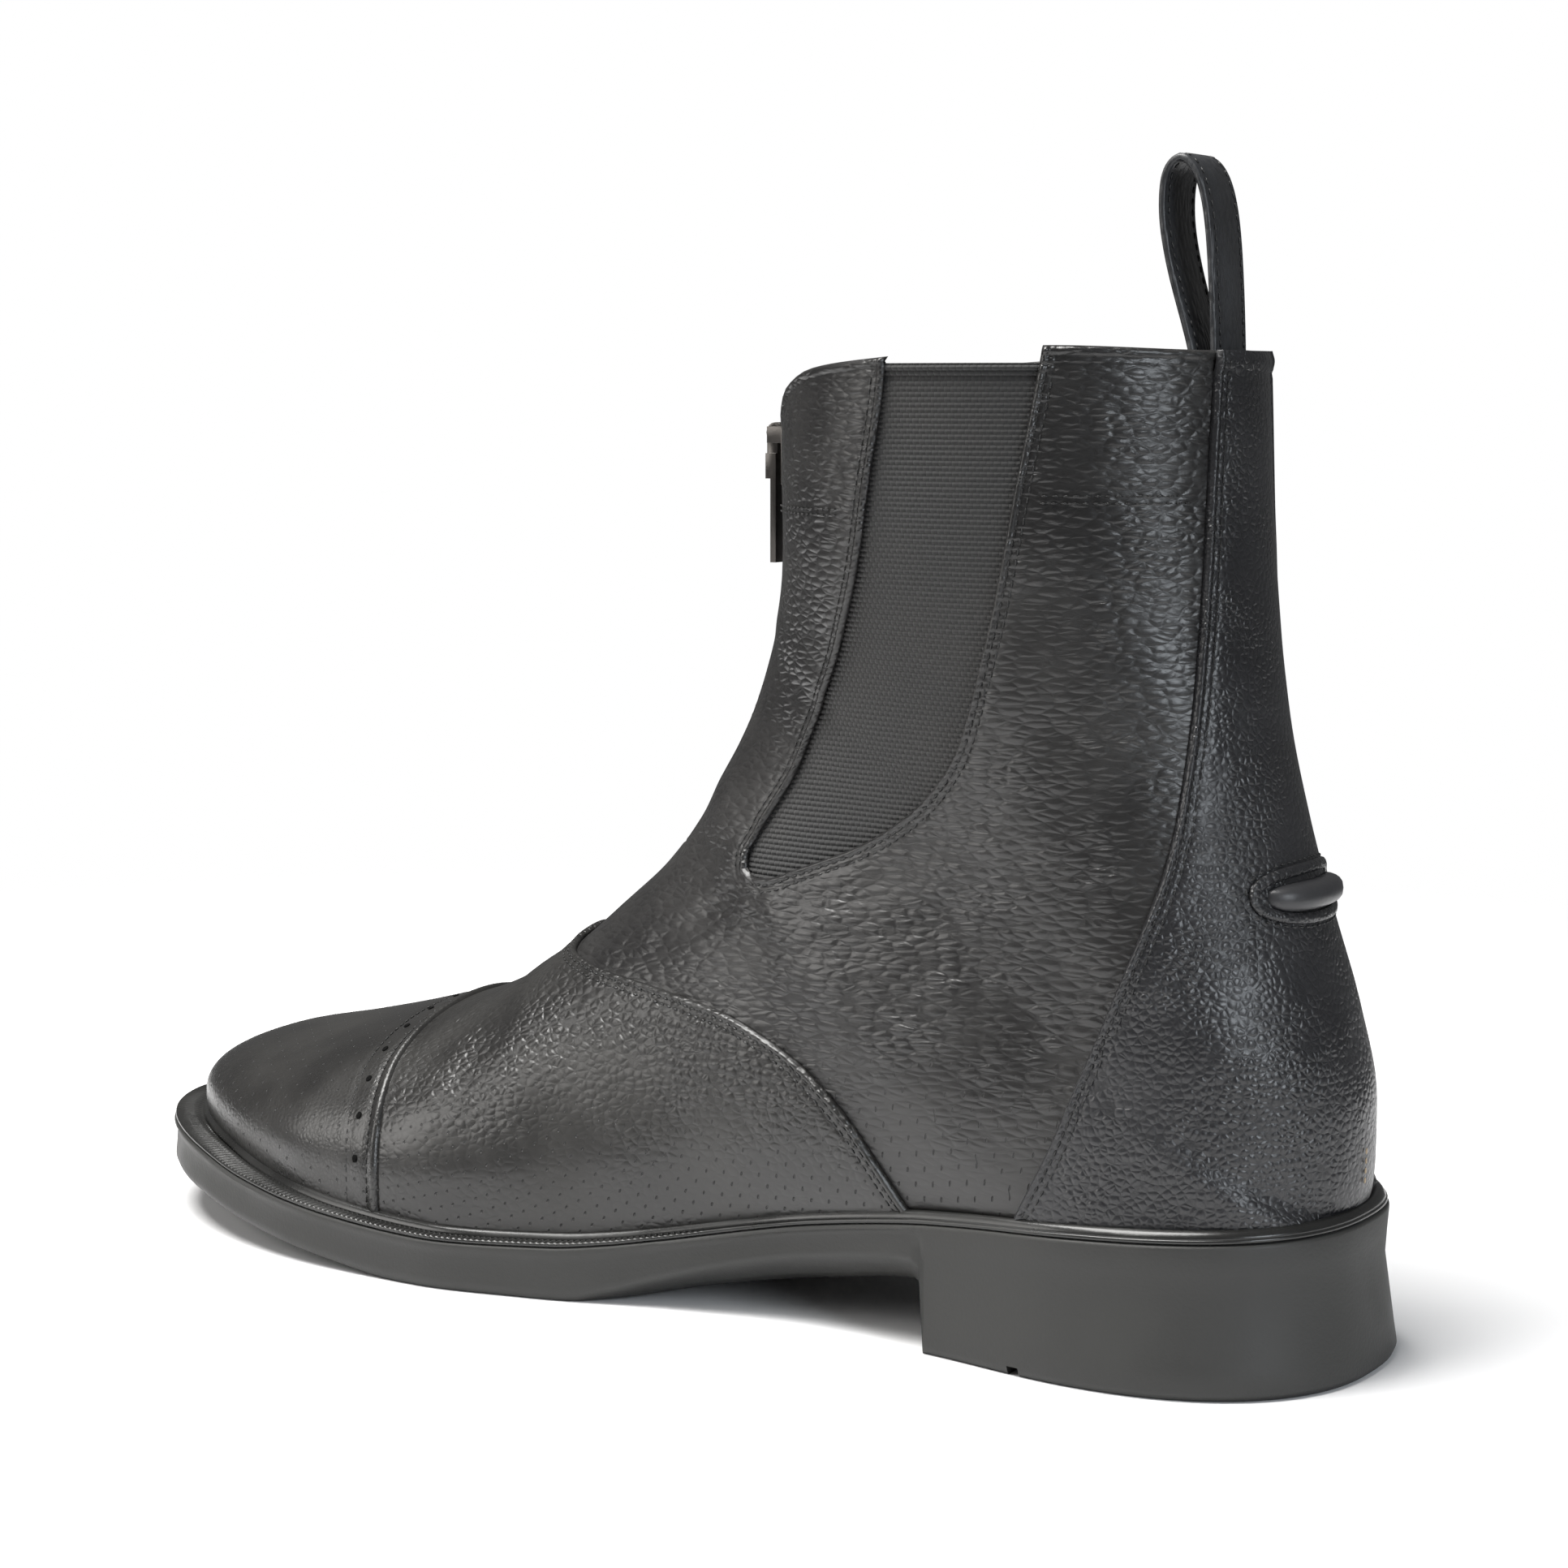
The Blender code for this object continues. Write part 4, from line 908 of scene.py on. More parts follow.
def vamp_height(points):
    away = distance_to(vamp_points, points)
    ridge = 0.25 * np.exp(-(((away - 0.8) / 0.6) ** 2))
    return folded(away, 1.25) + 0.08 + ridge + furrows(away, STITCH_ROWS["vamp"])


overlay("stitched_vamp", between(under_cap, vamp_edge, False, True, 52), vamp_height, VAMP_HIDE, "vamp")

# %% Back panel
back_ribs = rib_rows(1.8, BACK_RIB)
back_edges = {side: seam_angles(BACK_SEAM, back_ribs, side) for side in (OUTER, INNER)}
back_lines = {side: last(back_ribs, side * back_edges[side]) for side in (OUTER, INNER)}


def back_height(points):
    away = np.minimum(distance_to(back_lines[OUTER], points), distance_to(back_lines[INNER], points))
    top_line = [last(np.full(60, LAST_RIB), side * np.linspace(2.0, math.pi, 60)) for side in (OUTER, INNER)]
    collar = np.minimum(*(distance_to(line, points) for line in top_line))
    ridge = 0.35 * np.exp(-(((away - 0.8) / 0.5) ** 2))
    rolled = 0.5 * np.exp(-(((collar - 2.0) / 1.6) ** 2))
    return folded(away, 1.2) + 0.12 + ridge + rolled + furrows(away, STITCH_ROWS["back"]) + furrows(collar, (4.6,))


rear_places = edge_spread(BACK_COLUMNS, False)
half_rows = {
    side: np.array([along_rib(u, edge, math.pi, rear_places) for u, edge in zip(back_ribs, back_edges[side])])
    for side in (OUTER, INNER)
}
back_angles = np.concatenate([half_rows[OUTER], -half_rows[INNER][:, ::-1]], axis=1)
back_u = np.repeat(back_ribs[:, None], back_angles.shape[1], axis=1)
points, normals = last(back_u, back_angles), outward(back_u, back_angles)
shaped = points + normals * (back_height(points) + creased(points))[..., None]
HEEL_COLUMNS = {BACK_COLUMNS - 1, BACK_COLUMNS}
flat = pulled_grid(shaped, measured(shaped, BACK_COLUMNS), normals, lambda rows, columns: columns == HEEL_COLUMNS)
bmesh.ops.remove_doubles(flat, verts=flat.verts, dist=SAME_SEAM)
back_panel = piece("stitched_back_panel", flat, [BACK_HIDE, EDGE_HIDE], ("back_panel",))
wall(back_panel, OVERLAY_WALL, 1, 1)

# %% [markdown]
# ## Stitches
# A stitch is a short round of thread that sinks at both ends. One low-poly ball, stretched along the seam, is
# enough for each, because there are hundreds. They stand in the furrows made above.


# %% Stitch rows
def resampled(path, normals, pitch):
    """Places at one pitch along a path: (points, directions, normals)."""
    length = np.concatenate([[0.0], np.linalg.norm(np.diff(path, axis=0), axis=1).cumsum()])
    at = np.arange(pitch / 2, length[-1], pitch)
    points = np.stack([np.interp(at, length, path[:, k]) for k in range(3)], axis=-1)
    ups = unit(np.stack([np.interp(at, length, normals[:, k]) for k in range(3)], axis=-1))
    ahead = np.stack([np.interp(at + 0.4, length, path[:, k]) for k in range(3)], axis=-1) - points
    return points[:-1], unit(ahead)[:-1], ups[:-1]


def turned_place(at, ahead, up, size):
    """A matrix that stands a shape at a place in mm, along one direction and up another."""
    turned = Matrix([[*column, 0.0] for column in (ahead, np.cross(up, ahead), up)] + [[0, 0, 0, 1]]).transposed()
    return Matrix.Translation(Vector(at * MM)) @ turned @ Matrix.Diagonal((*size, 1.0))


def add_balls(bm, places, segments=6, rounds=4):
    """One ball per place. They are made a few at a time, because an operator slows down as its mesh grows."""
    store = bpy.data.meshes.new("balls")
    for first in range(0, len(places), 30):
        part = bmesh.new()
        for place in places[first : first + 30]:
            bmesh.ops.create_uvsphere(part, u_segments=segments, v_segments=rounds, radius=MM, matrix=place)
        part.to_mesh(store)
        part.free()
        bm.from_mesh(store)
    bpy.data.meshes.remove(store)


def ball_row(bm, path, ups, pitch, size, *parts):
    """Balls at one pitch along a path. A size is half a ball's length, breadth and height, in mm."""
    add_balls(bm, [turned_place(*row, size) for row in zip(*resampled(path, ups, pitch))], *parts)


STITCH_PITCH, STITCH_SIZE = 2.05, (1.55 / 2, 0.46 / 2, 0.46 / 2.4)


def stitch_row(bm, line, lift):
    """Stitches along a line of (rib, angle) pairs, raised over the last by lift(points)."""
    line = np.stack([np.clip(line[:, 0], 0, LAST_RIB), np.clip(line[:, 1], -math.pi, math.pi)], axis=-1)
    normals = outward(*line.T)
    on_last = last(*line.T)
    ball_row(bm, on_last + normals * lift(on_last)[:, None], normals, STITCH_PITCH, STITCH_SIZE)


def trimmed(line, clear=3.2):
    """The part of a line that lies above the welt."""
    points = last(*line.T)
    rims = np.array([rim(min(max(ORIGIN_S - y, 0.0), SOLE_LENGTH)) for y in points[:, 1]])
    return line[points[:, 2] > rims + clear]


def paired(ribs, angles):
    """A line of (rib, angle) pairs. The angles may be one number."""
    return np.stack([ribs, 0 * ribs + angles], axis=-1)


THREAD_LIFT, CAP_THREAD_LIFT = 0.1, 0.12
thread = bmesh.new()
for distance in STITCH_ROWS["cap"]:
    stitch_row(thread, trimmed(offset_pair(cap_edge, toe_tip, distance)),
               lambda p: cap_height(p) + creased(p) + CAP_THREAD_LIFT)
for distance in STITCH_ROWS["vamp"]:
    stitch_row(thread, trimmed(offset_pair(vamp_edge, under_cap, distance)),
               lambda p: vamp_height(p) + creased(p) + THREAD_LIFT)
for side in (OUTER, INNER):
    seam, rear_line = paired(back_ribs, side * back_edges[side]), paired(back_ribs, side * math.pi)
    for distance in STITCH_ROWS["back"]:
        stitch_row(thread, trimmed(offset_pair(seam, rear_line, distance))[:-2],
                   lambda p: back_height(p) + creased(p) + THREAD_LIFT)
    ribs = TIP_RIB + 0.02 + (LAST_RIB - 0.12 - TIP_RIB) * np.linspace(0.0, 1.0, 260) ** 1.6
    front, rear = (paired(ribs, side * angles) for angles in opening_angles(ribs, side))
    for distance in STITCH_ROWS["gusset"]:
        for edge_line, aim in ((front, 0.0), (rear, side * math.pi)):
            stitch_row(thread, offset_pair(edge_line, paired(ribs, aim), distance),
                       lambda p: upper_height(p, side) + THREAD_LIFT)
piece("stitches", thread, [THREAD])

# %% [markdown]
# ## Elastic gussets
# The elastic lies under the leather and shows its level ribs. Rays from the side find the last at each (s, z),
# so the ribs stay level, and the sheet's own rows rise and fall once for each rib.

# %% Rays onto the last
probe_u = np.linspace(8.0, LAST_RIB, 120)
probe_angle = np.linspace(-math.pi, math.pi, 161)
probe = pulled_grid(last(probe_u[:, None], probe_angle[None, :]))
probe_tree = BVHTree.FromBMesh(probe)
probe.free()


def from_side(s, z, side):
    """The last's point and normal where a level ray from the side meets it, in mm."""
    start = Vector((side * 90.0, ORIGIN_S - s, z)) * MM
    at, normal, _, _ = probe_tree.ray_cast(start, Vector((-side, 0, 0)))
    if at is None:
        at, normal, _, _ = probe_tree.find_nearest(Vector((side * 36.0, ORIGIN_S - s, z)) * MM)
    normal = np.array(normal)
    return np.array(at) / MM, normal if normal[0] * side > 0 else -normal


# %% Level rows of stitches round the ankle
LEVEL_ROWS = ((168.5, "rear"), (167.1, "rear"), (164.9, "front"), (163.8, "front"))
level_thread = bmesh.new()
for side in (OUTER, INNER):
    for z, part in LEVEL_ROWS:
        if part == "rear":
            run = np.linspace(np.interp(z, *dense(GUSSET, 2)) - 5.0, np.interp(z, *dense(BACK_SEAM, 1)) + 1.0, 40)
        else:
            run = np.linspace(124.0, np.interp(z, *dense(GUSSET, 1)) + 5.0, 30)
        hits = [from_side(s, z, side) for s in run]
        path, ups = np.array([at + normal * 0.28 for at, normal in hits]), np.array([normal for _, normal in hits])
        ball_row(level_thread, path, ups, STITCH_PITCH, (0.75, 0.2, 0.18))
piece("level_stitches", level_thread, [THREAD])

# %% Elastic sheets
ELASTIC_ROW, ELASTIC_FOOT, ELASTIC_TOP, ELASTIC_MARGIN, ELASTIC_DEPTH = 1.03, 84.4, 194.2, 4.5, 1.5
heights = np.arange(ELASTIC_FOOT, ELASTIC_TOP + 0.01, ELASTIC_ROW / 4)
front_at, rear_at = dense(GUSSET, 1), dense(GUSSET, 2)
for side, name, node_name in ((OUTER, "elastic_outer", "gusset_outer"), (INNER, "elastic_inner", "gusset_inner")):
    rows, ways, mapped = [], [], []
    for z in heights:
        front, rear = np.interp(z, *front_at) + ELASTIC_MARGIN, np.interp(z, *rear_at) - ELASTIC_MARGIN
        pinch = math.sqrt(min(max((z - ELASTIC_FOOT + 0.4) / 3.5, 0.05), 1.0))
        centre = (front + rear) / 2
        front, rear = centre + (front - centre) * pinch, centre + (rear - centre) * pinch
        cord = 0.16 * abs(math.sin(math.pi * z / ELASTIC_ROW))
        from_top = ELASTIC_TOP - z
        selvedge = 0.7 * math.exp(-(((from_top - 0.8) / 0.9) ** 2)) - 0.35 * math.exp(-(((from_top - 3.0) / 0.5) ** 2))
        row = []
        for s in np.linspace(rear, front, 44):
            at, normal = from_side(s, z, side)
            row.append((at + normal * (cord + selvedge - ELASTIC_DEPTH), normal, (s, z)))
        rows.append([item[0] for item in row])
        ways.append([item[1] for item in row])
        mapped.append([item[2] for item in row])
    sheet = pulled_grid(np.array(rows), np.array(mapped), np.array(ways))
    wall(piece(name, sheet, [ELASTIC, LINING], (node_name,)), ELASTIC_WALL, 1, 0)

# %% [markdown]
# ## Sole and welt
# The sole is lofted through closed rings along its length, as the part's is, with many more stations and round
# edges. Its tread grooves are cut from below. The welt is a ring round the plan, with a notched ledge in front.


# %% Loft through rings
def closed_loft(rings, round_trip=False):
    """A closed body through rings of points in mm: a pulled grid whose two sides meet. A round trip joins its last
    ring to its first, and otherwise both ends are capped."""
    rings = np.array(rings + rings[:1] if round_trip else rings)
    bm = pulled_grid(np.concatenate([rings, rings[:, :1]], axis=1))
    if not round_trip:
        bmesh.ops.holes_fill(bm, edges=[edge for edge in bm.edges if edge.is_boundary], sides=0)
    bmesh.ops.recalc_face_normals(bm, faces=bm.faces)
    return bm


def long_stations(fine):
    heel = [HEEL_END * (1 - math.cos(math.pi / 2 * k / 24)) for k in range(1, 24)]
    middle = list(np.arange(HEEL_END, HEEL_LENGTH - 0.6, fine)) + [HEEL_LENGTH - 0.3, HEEL_LENGTH + 0.7]
    middle += list(np.arange(HEEL_LENGTH + 3.0, SOLE_LENGTH - TOE_END, fine))
    toe_from = SOLE_LENGTH - TOE_END
    toe = [toe_from + TOE_END * math.sin(math.pi / 2 * k / 30) for k in range(31)]
    return [0.0] + heel + middle + toe


# %% Outsole
def sole_half(s, side):
    """Half of a ring: round rim edge, hollowed side, round low edge and underside."""
    high, low, under, flare = (glide(SOLE_HEIGHTS, s, k) for k in (1, 2, 3, 4))
    waist = min(max((low - under - 1.5) / 4.0, 0.0), 1.0)
    bevel = 1.2 + (13.0 - 1.2) * waist
    run = [(7.0, high), (0.9, high), (0.2, high - 0.05), (-0.25, high - 0.35), (-0.4, high - 0.9)]
    for t in (0.2, 0.35, 0.6, 0.85):
        hollow = 0.8 * min(t / 0.35, 1.0) - (0.4 + flare) * max((t - 0.35) / 0.65, 0.0)
        run.append((-0.4 + hollow, high + (low - high) * t))
    run += [(-flare, low + 0.5), (0.25 - flare, low - 0.1), (bevel * 0.45 - flare, under + (low - under) * 0.4),
            (bevel - flare, under), (bevel + 6.0, under)]
    return [(*plan(s, side, inset), z) for inset, z in run]


rings = []
for s in long_stations(2.6):
    halves = []
    for side in (OUTER, INNER):
        half = [(float(middle_x(at)) + side * x, ORIGIN_S - at, z) for at, x, z in sole_half(s, side)]
        halves.append(half if side == OUTER else half[::-1])
    rings.append(halves[0] + halves[1])

# %% [markdown]
# ### Tread
# The cutter is a row of bars, one for each groove, that reach from below the sole up into it. A Boolean modifier
# cuts them all out at once. One groove runs out through the heel's sides, where it shows as the photograph's notch.

# %% Tread
GROOVE_DEPTH, GROOVE_WIDTH, CUTTER_BELOW = 1.8, 2.6, 5.0
GROOVES_INSIDE, GROOVE_THROUGH = (18.0, 31.0, 44.0, 174.0, 190.0, 206.0, 222.0, 238.0, 254.0), 57.0
cutter_bm = bmesh.new()
for s, inset in [(s, 9.0) for s in GROOVES_INSIDE] + [(GROOVE_THROUGH, -9.0)]:
    made = bmesh.ops.create_cube(cutter_bm, size=MM)["verts"]
    half = plan(s, OUTER, inset)[1]
    top = glide(SOLE_HEIGHTS, s, 3) + GROOVE_DEPTH
    centre = Vector((float(middle_x(s)), ORIGIN_S - s, (top - CUTTER_BELOW) / 2)) * MM
    bmesh.ops.scale(cutter_bm, verts=made, vec=(2 * half, GROOVE_WIDTH, top + CUTTER_BELOW))
    bmesh.ops.translate(cutter_bm, verts=made, vec=centre)
cutter = in_scene("tread_cutter", as_mesh("tread_cutter", cutter_bm))
blank = in_scene("sole_blank", as_mesh("sole_blank", closed_loft(rings)))
cut = blank.modifiers.new("Tread", "BOOLEAN")
cut.object, cut.operation = cutter, "DIFFERENCE"
graph = bpy.context.evaluated_depsgraph_get()
sole_bm = bmesh.new()
sole_bm.from_object(blank, graph)
for helper in (cutter, blank):
    bpy.data.objects.remove(helper)
outsole = piece("moulded_sole", sole_bm, [RUBBER], ("outsole",))
outsole.data.set_sharp_from_angle(angle=math.radians(50))

# %% Welt with its bead and notches
WELT_RUN = (
    # share of the welt's width, more inset, height over the rim, how much a notch lowers it
    (0.0, 1.6, 0.02, 0.0), (0.0, 0.3, 0.02, 0.0), (0.0, -0.1, 0.35, 0.0), (0.0, 0.0, 0.8, 0.0),
    (0.0, 0.4, 1.05, 0.3), (0.18, 0.5, 1.15, 1.0), (0.36, 0.5, 1.15, 1.0), (0.5, 0.4, 1.0, 0.3),
    (0.7, -0.6, 0.7, 0.0), (1.0, -3.3, 0.75, 0.0), (1.0, -3.0, 1.4, 0.0), (1.0, -2.6, 2.0, 0.0),
    (1.0, -2.1, 2.35, 0.0), (1.0, -1.5, 2.4, 0.0), (1.0, -0.9, 2.2, 0.0), (1.0, -0.3, 1.6, 0.0),
    (1.0, 0.3, 0.6, 0.0),
)
NOTCH_PITCH, NOTCH_SHAPE = 1.35, (0.0, 1.0, 1.0, 0.0)
stations = (SOLE_LENGTH / 2 * (1 - np.cos(np.linspace(0, math.pi, 1400)))).tolist()
loop = [(s, OUTER) for s in stations] + [(s, INNER) for s in stations[-2:0:-1]]
path = []
for s, side in loop:
    at, half = plan(s, side, 1.5)
    path.append((float(middle_x(at)) + side * half, at, rim(s)))
path = np.array(path + path[:1])
length = np.concatenate([[0.0], np.linalg.norm(np.diff(path, axis=0), axis=1).cumsum()])
notches = round(length[-1] / NOTCH_PITCH)
places = np.linspace(0.0, length[-1], 4 * notches + 1)
loop_at = np.interp(places, length, np.arange(len(path)))
rings = []
for k, at_loop in enumerate(loop_at[:-1]):
    index, part = int(at_loop), at_loop % 1.0
    (s, side), (next_s, _) = loop[index], loop[(index + 1) % len(loop)]
    s += (next_s - s) * part
    front = min(max((s - 128.0) / 8.0, 0.0), 1.0)
    notch = front * 0.5 * NOTCH_SHAPE[k % 4]
    ring = []
    for share, more, height, notched in WELT_RUN:
        at, half = plan(s, side, share * welt_width(s) + more)
        raised = height * front + 0.75 * (1 - front) if 0.1 < share < 0.6 else height
        ring.append((float(middle_x(at)) + side * half, ORIGIN_S - at, rim(s) + raised - notch * notched))
    rings.append(ring)
piece("notched_welt", closed_loft(rings, True), [BEAD], ("welt",))

# %% Insole
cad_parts["insole"].data.materials.clear()
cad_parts["insole"].data.materials.append(LINING)

# %% [markdown]
# ## Pull loop
# A strap folded over and stitched: two layers with a round edge. Its section is swept along the side-view path.

# %% Strap
LOOP_PATH = (
    (29.2, 176.0), (29.4, 197.0), (29.8, 210.0), (30.6, 222.0), (32.6, 231.0), (36.4, 235.2),
    (40.0, 231.6), (40.6, 224.0), (38.8, 213.0), (35.6, 202.0), (33.2, 192.0), (32.4, 182.0),
)
numbered = [(k, *point) for k, point in enumerate(LOOP_PATH)]
path_at = np.arange(8 * (len(LOOP_PATH) - 1) + 1) / 8
fine_path = np.array([(glide(numbered, k, 1), glide(numbered, k, 2)) for k in path_at])
for _ in range(14):
    fine_path[1:-1] = (fine_path[:-2] + 2 * fine_path[1:-1] + fine_path[2:]) / 4
tangent = unit(np.gradient(fine_path, axis=0))
STRAP_HALF, STRAP_THICK, STRAP_SEAM = 7.5, 1.0, 5.6


def rounded_power(value, power):
    """A power that keeps the sign. It squares off a circle's cosine or sine."""
    return math.copysign(abs(value) ** power, value)


def turns(count):
    """Angles all the way round, without the last."""
    return [2 * math.pi * k / count for k in range(count)]


section = [(STRAP_HALF * rounded_power(math.cos(turn), 0.35), STRAP_THICK * rounded_power(math.sin(turn), 0.6))
           for turn in turns(28)]
rings = []
for (s, z), (ds, dz) in zip(fine_path, tangent):
    ring = []
    for wide, thick in section:
        furrow = 0.22 * math.exp(-(((abs(wide) - STRAP_SEAM) / 0.5) ** 2)) * (1 if abs(thick) > 0.4 else 0)
        thick = thick - math.copysign(furrow, thick)
        ring.append((HEEL_X + wide, ORIGIN_S - (s - thick * dz), z + thick * ds))
    rings.append(ring)
piece("pull_strap", closed_loft(rings), [STRAP_HIDE], ("pull_loop",))

# %% Strap stitches
strap_thread = bmesh.new()
for edge_side in (-1, 1):
    for face_side in (-1, 1):
        line = np.array([
            (HEEL_X + edge_side * STRAP_SEAM, ORIGIN_S - (s - face_side * 0.86 * dz), z + face_side * 0.86 * ds)
            for (s, z), (ds, dz) in zip(fine_path, tangent)
        ])
        normal = np.array([(0.0, face_side * dz, face_side * ds) for ds, dz in tangent])
        ball_row(strap_thread, line, normal, 2.3, (0.8, 0.22, 0.2))
piece("strap_stitches", strap_thread, [THREAD])

# %% [markdown]
# ## Spur rest
# A moulded bar that keeps a spur from sliding down. It is a wedge in section with a round ridge, and it comes
# out through a window in the back panel whose leather rim stands up round it.

# %% Spur rest bar
SPUR_Z, SPUR_HALF, SPUR_TALL, SPUR_REACH = 91.3, 14.5, 5.6, 3.4


def back_surface(x, z):
    """The last's back at an x and a height, by a level ray from behind."""
    at, normal, _, _ = probe_tree.ray_cast(Vector((x, 80.0, z)) * MM, Vector((0, -1, 0)))
    normal = np.array(normal)
    return np.array(at) / MM, normal if normal[1] > 0 else -normal


rings = []
for k in range(41):
    x = HEEL_X + SPUR_HALF * math.sin(math.pi / 2 * (k - 20) / 20)
    base, way = back_surface(x, SPUR_Z)
    way = unit(way * np.array([1.0, 1.0, 0.0]))
    share = math.sqrt(max(1 - ((x - HEEL_X) / SPUR_HALF) ** 4, 0.0))
    ring = []
    for turn in turns(20):
        outwards = (1 + math.cos(turn)) / 2
        tall = rounded_power(math.sin(turn), 0.75) * SPUR_TALL / 2 * (0.35 + 0.65 * share)
        reach = -1.2 + (2.8 + SPUR_REACH) * outwards**1.15 * share
        ring.append(base + way * reach + np.array([0, 0, tall]))
    rings.append(ring)
piece("spur_rest_bar", closed_loft(rings), [SATIN], ("spur_rest",))

# %% [markdown]
# ### Window rim
# The rim is a cord of leather laid round the window and swept through rings, with one row of stitches outside it.

# %% Leather rim of the window
RIM_HALF, RIM_TALL, RIM_LIFT, RIM_WIDE, RIM_HIGH = 16.6, 4.6, 1.7, 1.15, 0.62
rim_points, rim_normals = [], []
for turn in turns(72):
    x = HEEL_X + RIM_HALF * rounded_power(math.cos(turn), 0.8)
    z = SPUR_Z + RIM_TALL * rounded_power(math.sin(turn), 0.8)
    at, normal = back_surface(x, z)
    rim_points.append(at + normal * RIM_LIFT)
    rim_normals.append(normal)
rim_points, rim_normals = np.array(rim_points), np.array(rim_normals)
ahead = unit(np.roll(rim_points, -1, axis=0) - np.roll(rim_points, 1, axis=0))
rings = []
for at, up, forward in zip(rim_points, rim_normals, ahead):
    sideways = np.cross(up, forward)
    rings.append([at + sideways * RIM_WIDE * math.cos(turn) + up * RIM_HIGH * math.sin(turn) for turn in turns(10)])
piece("spur_window_rim", closed_loft(rings, True), [BACK_HIDE])

# %% Stitches round the window
rim_thread = bmesh.new()
path, ups = (np.concatenate([row, row[:1]]) for row in (rim_points, rim_normals))
places = []
for at, forward, up in zip(*resampled(path, ups, 2.0)):
    away = unit(np.cross(forward, up))
    away = away if np.dot(away, at - np.array([HEEL_X, at[1], SPUR_Z])) > 0 else -away
    places.append(turned_place(at + away * 1.7 - up * 0.3, forward, up, (0.75, 0.22, 0.22)))
add_balls(rim_thread, places)
piece("spur_window_stitches", rim_thread, [THREAD])

# %% Bare thread at the foot of the heel seam
heel_thread = bmesh.new()
heel_line = [back_surface(HEEL_X + 0.4, z) for z in np.arange(36.0, 47.0, 1.0)]
path, ups = np.array([at + normal * 1.62 for at, normal in heel_line]), np.array([way for _, way in heel_line])
ball_row(heel_thread, path, ups, 1.9, (0.7, 0.28, 0.2))
piece("heel_seam_thread", heel_thread, [BARE_THREAD])

# %% [markdown]
# ## Brogue holes
# A row of punched holes follows the toe cap, between its two rows of stitches. Each is a dark flat disc
# on the cap.

# %% Punched holes
holes = bmesh.new()
hole_line = trimmed(offset_pair(cap_edge, toe_tip, 6.2), 5.0)
on_last, normals = last(*hole_line.T), outward(*hole_line.T)
path = on_last + normals * (cap_height(on_last) + creased(on_last) + 0.14)[:, None]
# Flat near-black discs on the cap: painted shade inside the holes.
ball_row(holes, path, normals, 9.4, (0.85, 0.72, 0.16), 14, 6)
piece("brogue_hole_shade", holes, [HOLE_SHADE])

# %% [markdown]
# ## Zip
# The front closes with a metal zip: a tape behind the slot, two rows of teeth that mesh at the middle, a slider
# and its swinging tab. The slider and the tab are the part's own solids with softened edges.

# %% Tape
zip_ribs = np.linspace(ZIP_RIB - 0.1, LAST_RIB - 0.05, 90)
reach = np.linspace(-7.0, 7.0, 15)


def front_wall(u, x):
    """The last's point near the front line of a rib at an x, and its normal."""
    angles = np.linspace(0.0, 0.7, 60)
    side = OUTER if x >= HEEL_X else INNER
    row = last(np.full(60, u), side * angles)
    angle = float(np.interp(abs(x - HEEL_X), np.abs(row[:, 0] - HEEL_X), angles)) * side
    return last(u, angle), outward(np.array(u), np.array(angle))


tape, ways = [], []
for u in zip_ribs:
    row = [front_wall(u, HEEL_X + x) for x in reach]
    tape.append([at - normal * 1.9 for at, normal in row])
    ways.append([normal for _, normal in row])
tape_points = np.array(tape)
tape_bm = pulled_grid(tape_points, measured(tape_points, 7), np.array(ways))
wall(piece("zip_cloth", tape_bm, [ELASTIC, LINING], ("zip_tape",)), TAPE_WALL, 1, 0)

# %% Teeth
teeth = bmesh.new()
centre_line = last(zip_ribs, 0 * zip_ribs)
for k, (at, forward, up) in enumerate(zip(*resampled(centre_line, outward(zip_ribs, 0 * zip_ribs), 1.1))):
    side = 1 if k % 2 else -1
    centre = at + np.array([side * 0.9, 0, 0]) - up * 0.9
    bmesh.ops.create_cube(teeth, size=MM, matrix=turned_place(centre, forward, up, (0.85, 3.0, 1.7)))
bmesh.ops.bevel(teeth, geom=list(teeth.edges), offset=0.0002, offset_type="OFFSET", affect="EDGES", segments=2,
                profile=0.5, material=-1)
piece("zip_teeth_rows", teeth, [METAL], ("zip_teeth",))


# %% Slider and tab
def softened(node_name, name, offset, body):
    """A copy of a CAD solid with rounded edges."""
    bm = bmesh.new()
    bm.from_mesh(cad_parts[node_name].data)
    bmesh.ops.remove_doubles(bm, verts=bm.verts, dist=1e-6)
    bmesh.ops.dissolve_limit(bm, angle_limit=math.radians(3), verts=bm.verts, edges=bm.edges)
    corner = math.radians(35)
    sharp = [edge for edge in bm.edges if len(edge.link_faces) == 2 and edge.calc_face_angle(0) > corner]
    bmesh.ops.bevel(bm, geom=sharp, offset=offset * MM, offset_type="OFFSET", affect="EDGES", segments=2,
                    profile=0.5, material=-1, clamp_overlap=True)
    bmesh.ops.recalc_face_normals(bm, faces=bm.faces)
    made = piece(name, bm, [METAL], (node_name,), body)
    made.data.set_sharp_from_angle(angle=math.radians(40))


softened("zip_slider", "zip_slider_body", 0.22, "boot")
softened("zip_pull", "zip_tab", 0.25, "pull_tab")

# %% [markdown]
# ## Studio
# The photograph is taken in a white tent: a pale floor that runs out to white, a broad soft light above, and a
# cooler one from behind the heel. The camera is level, with its view shifted down.

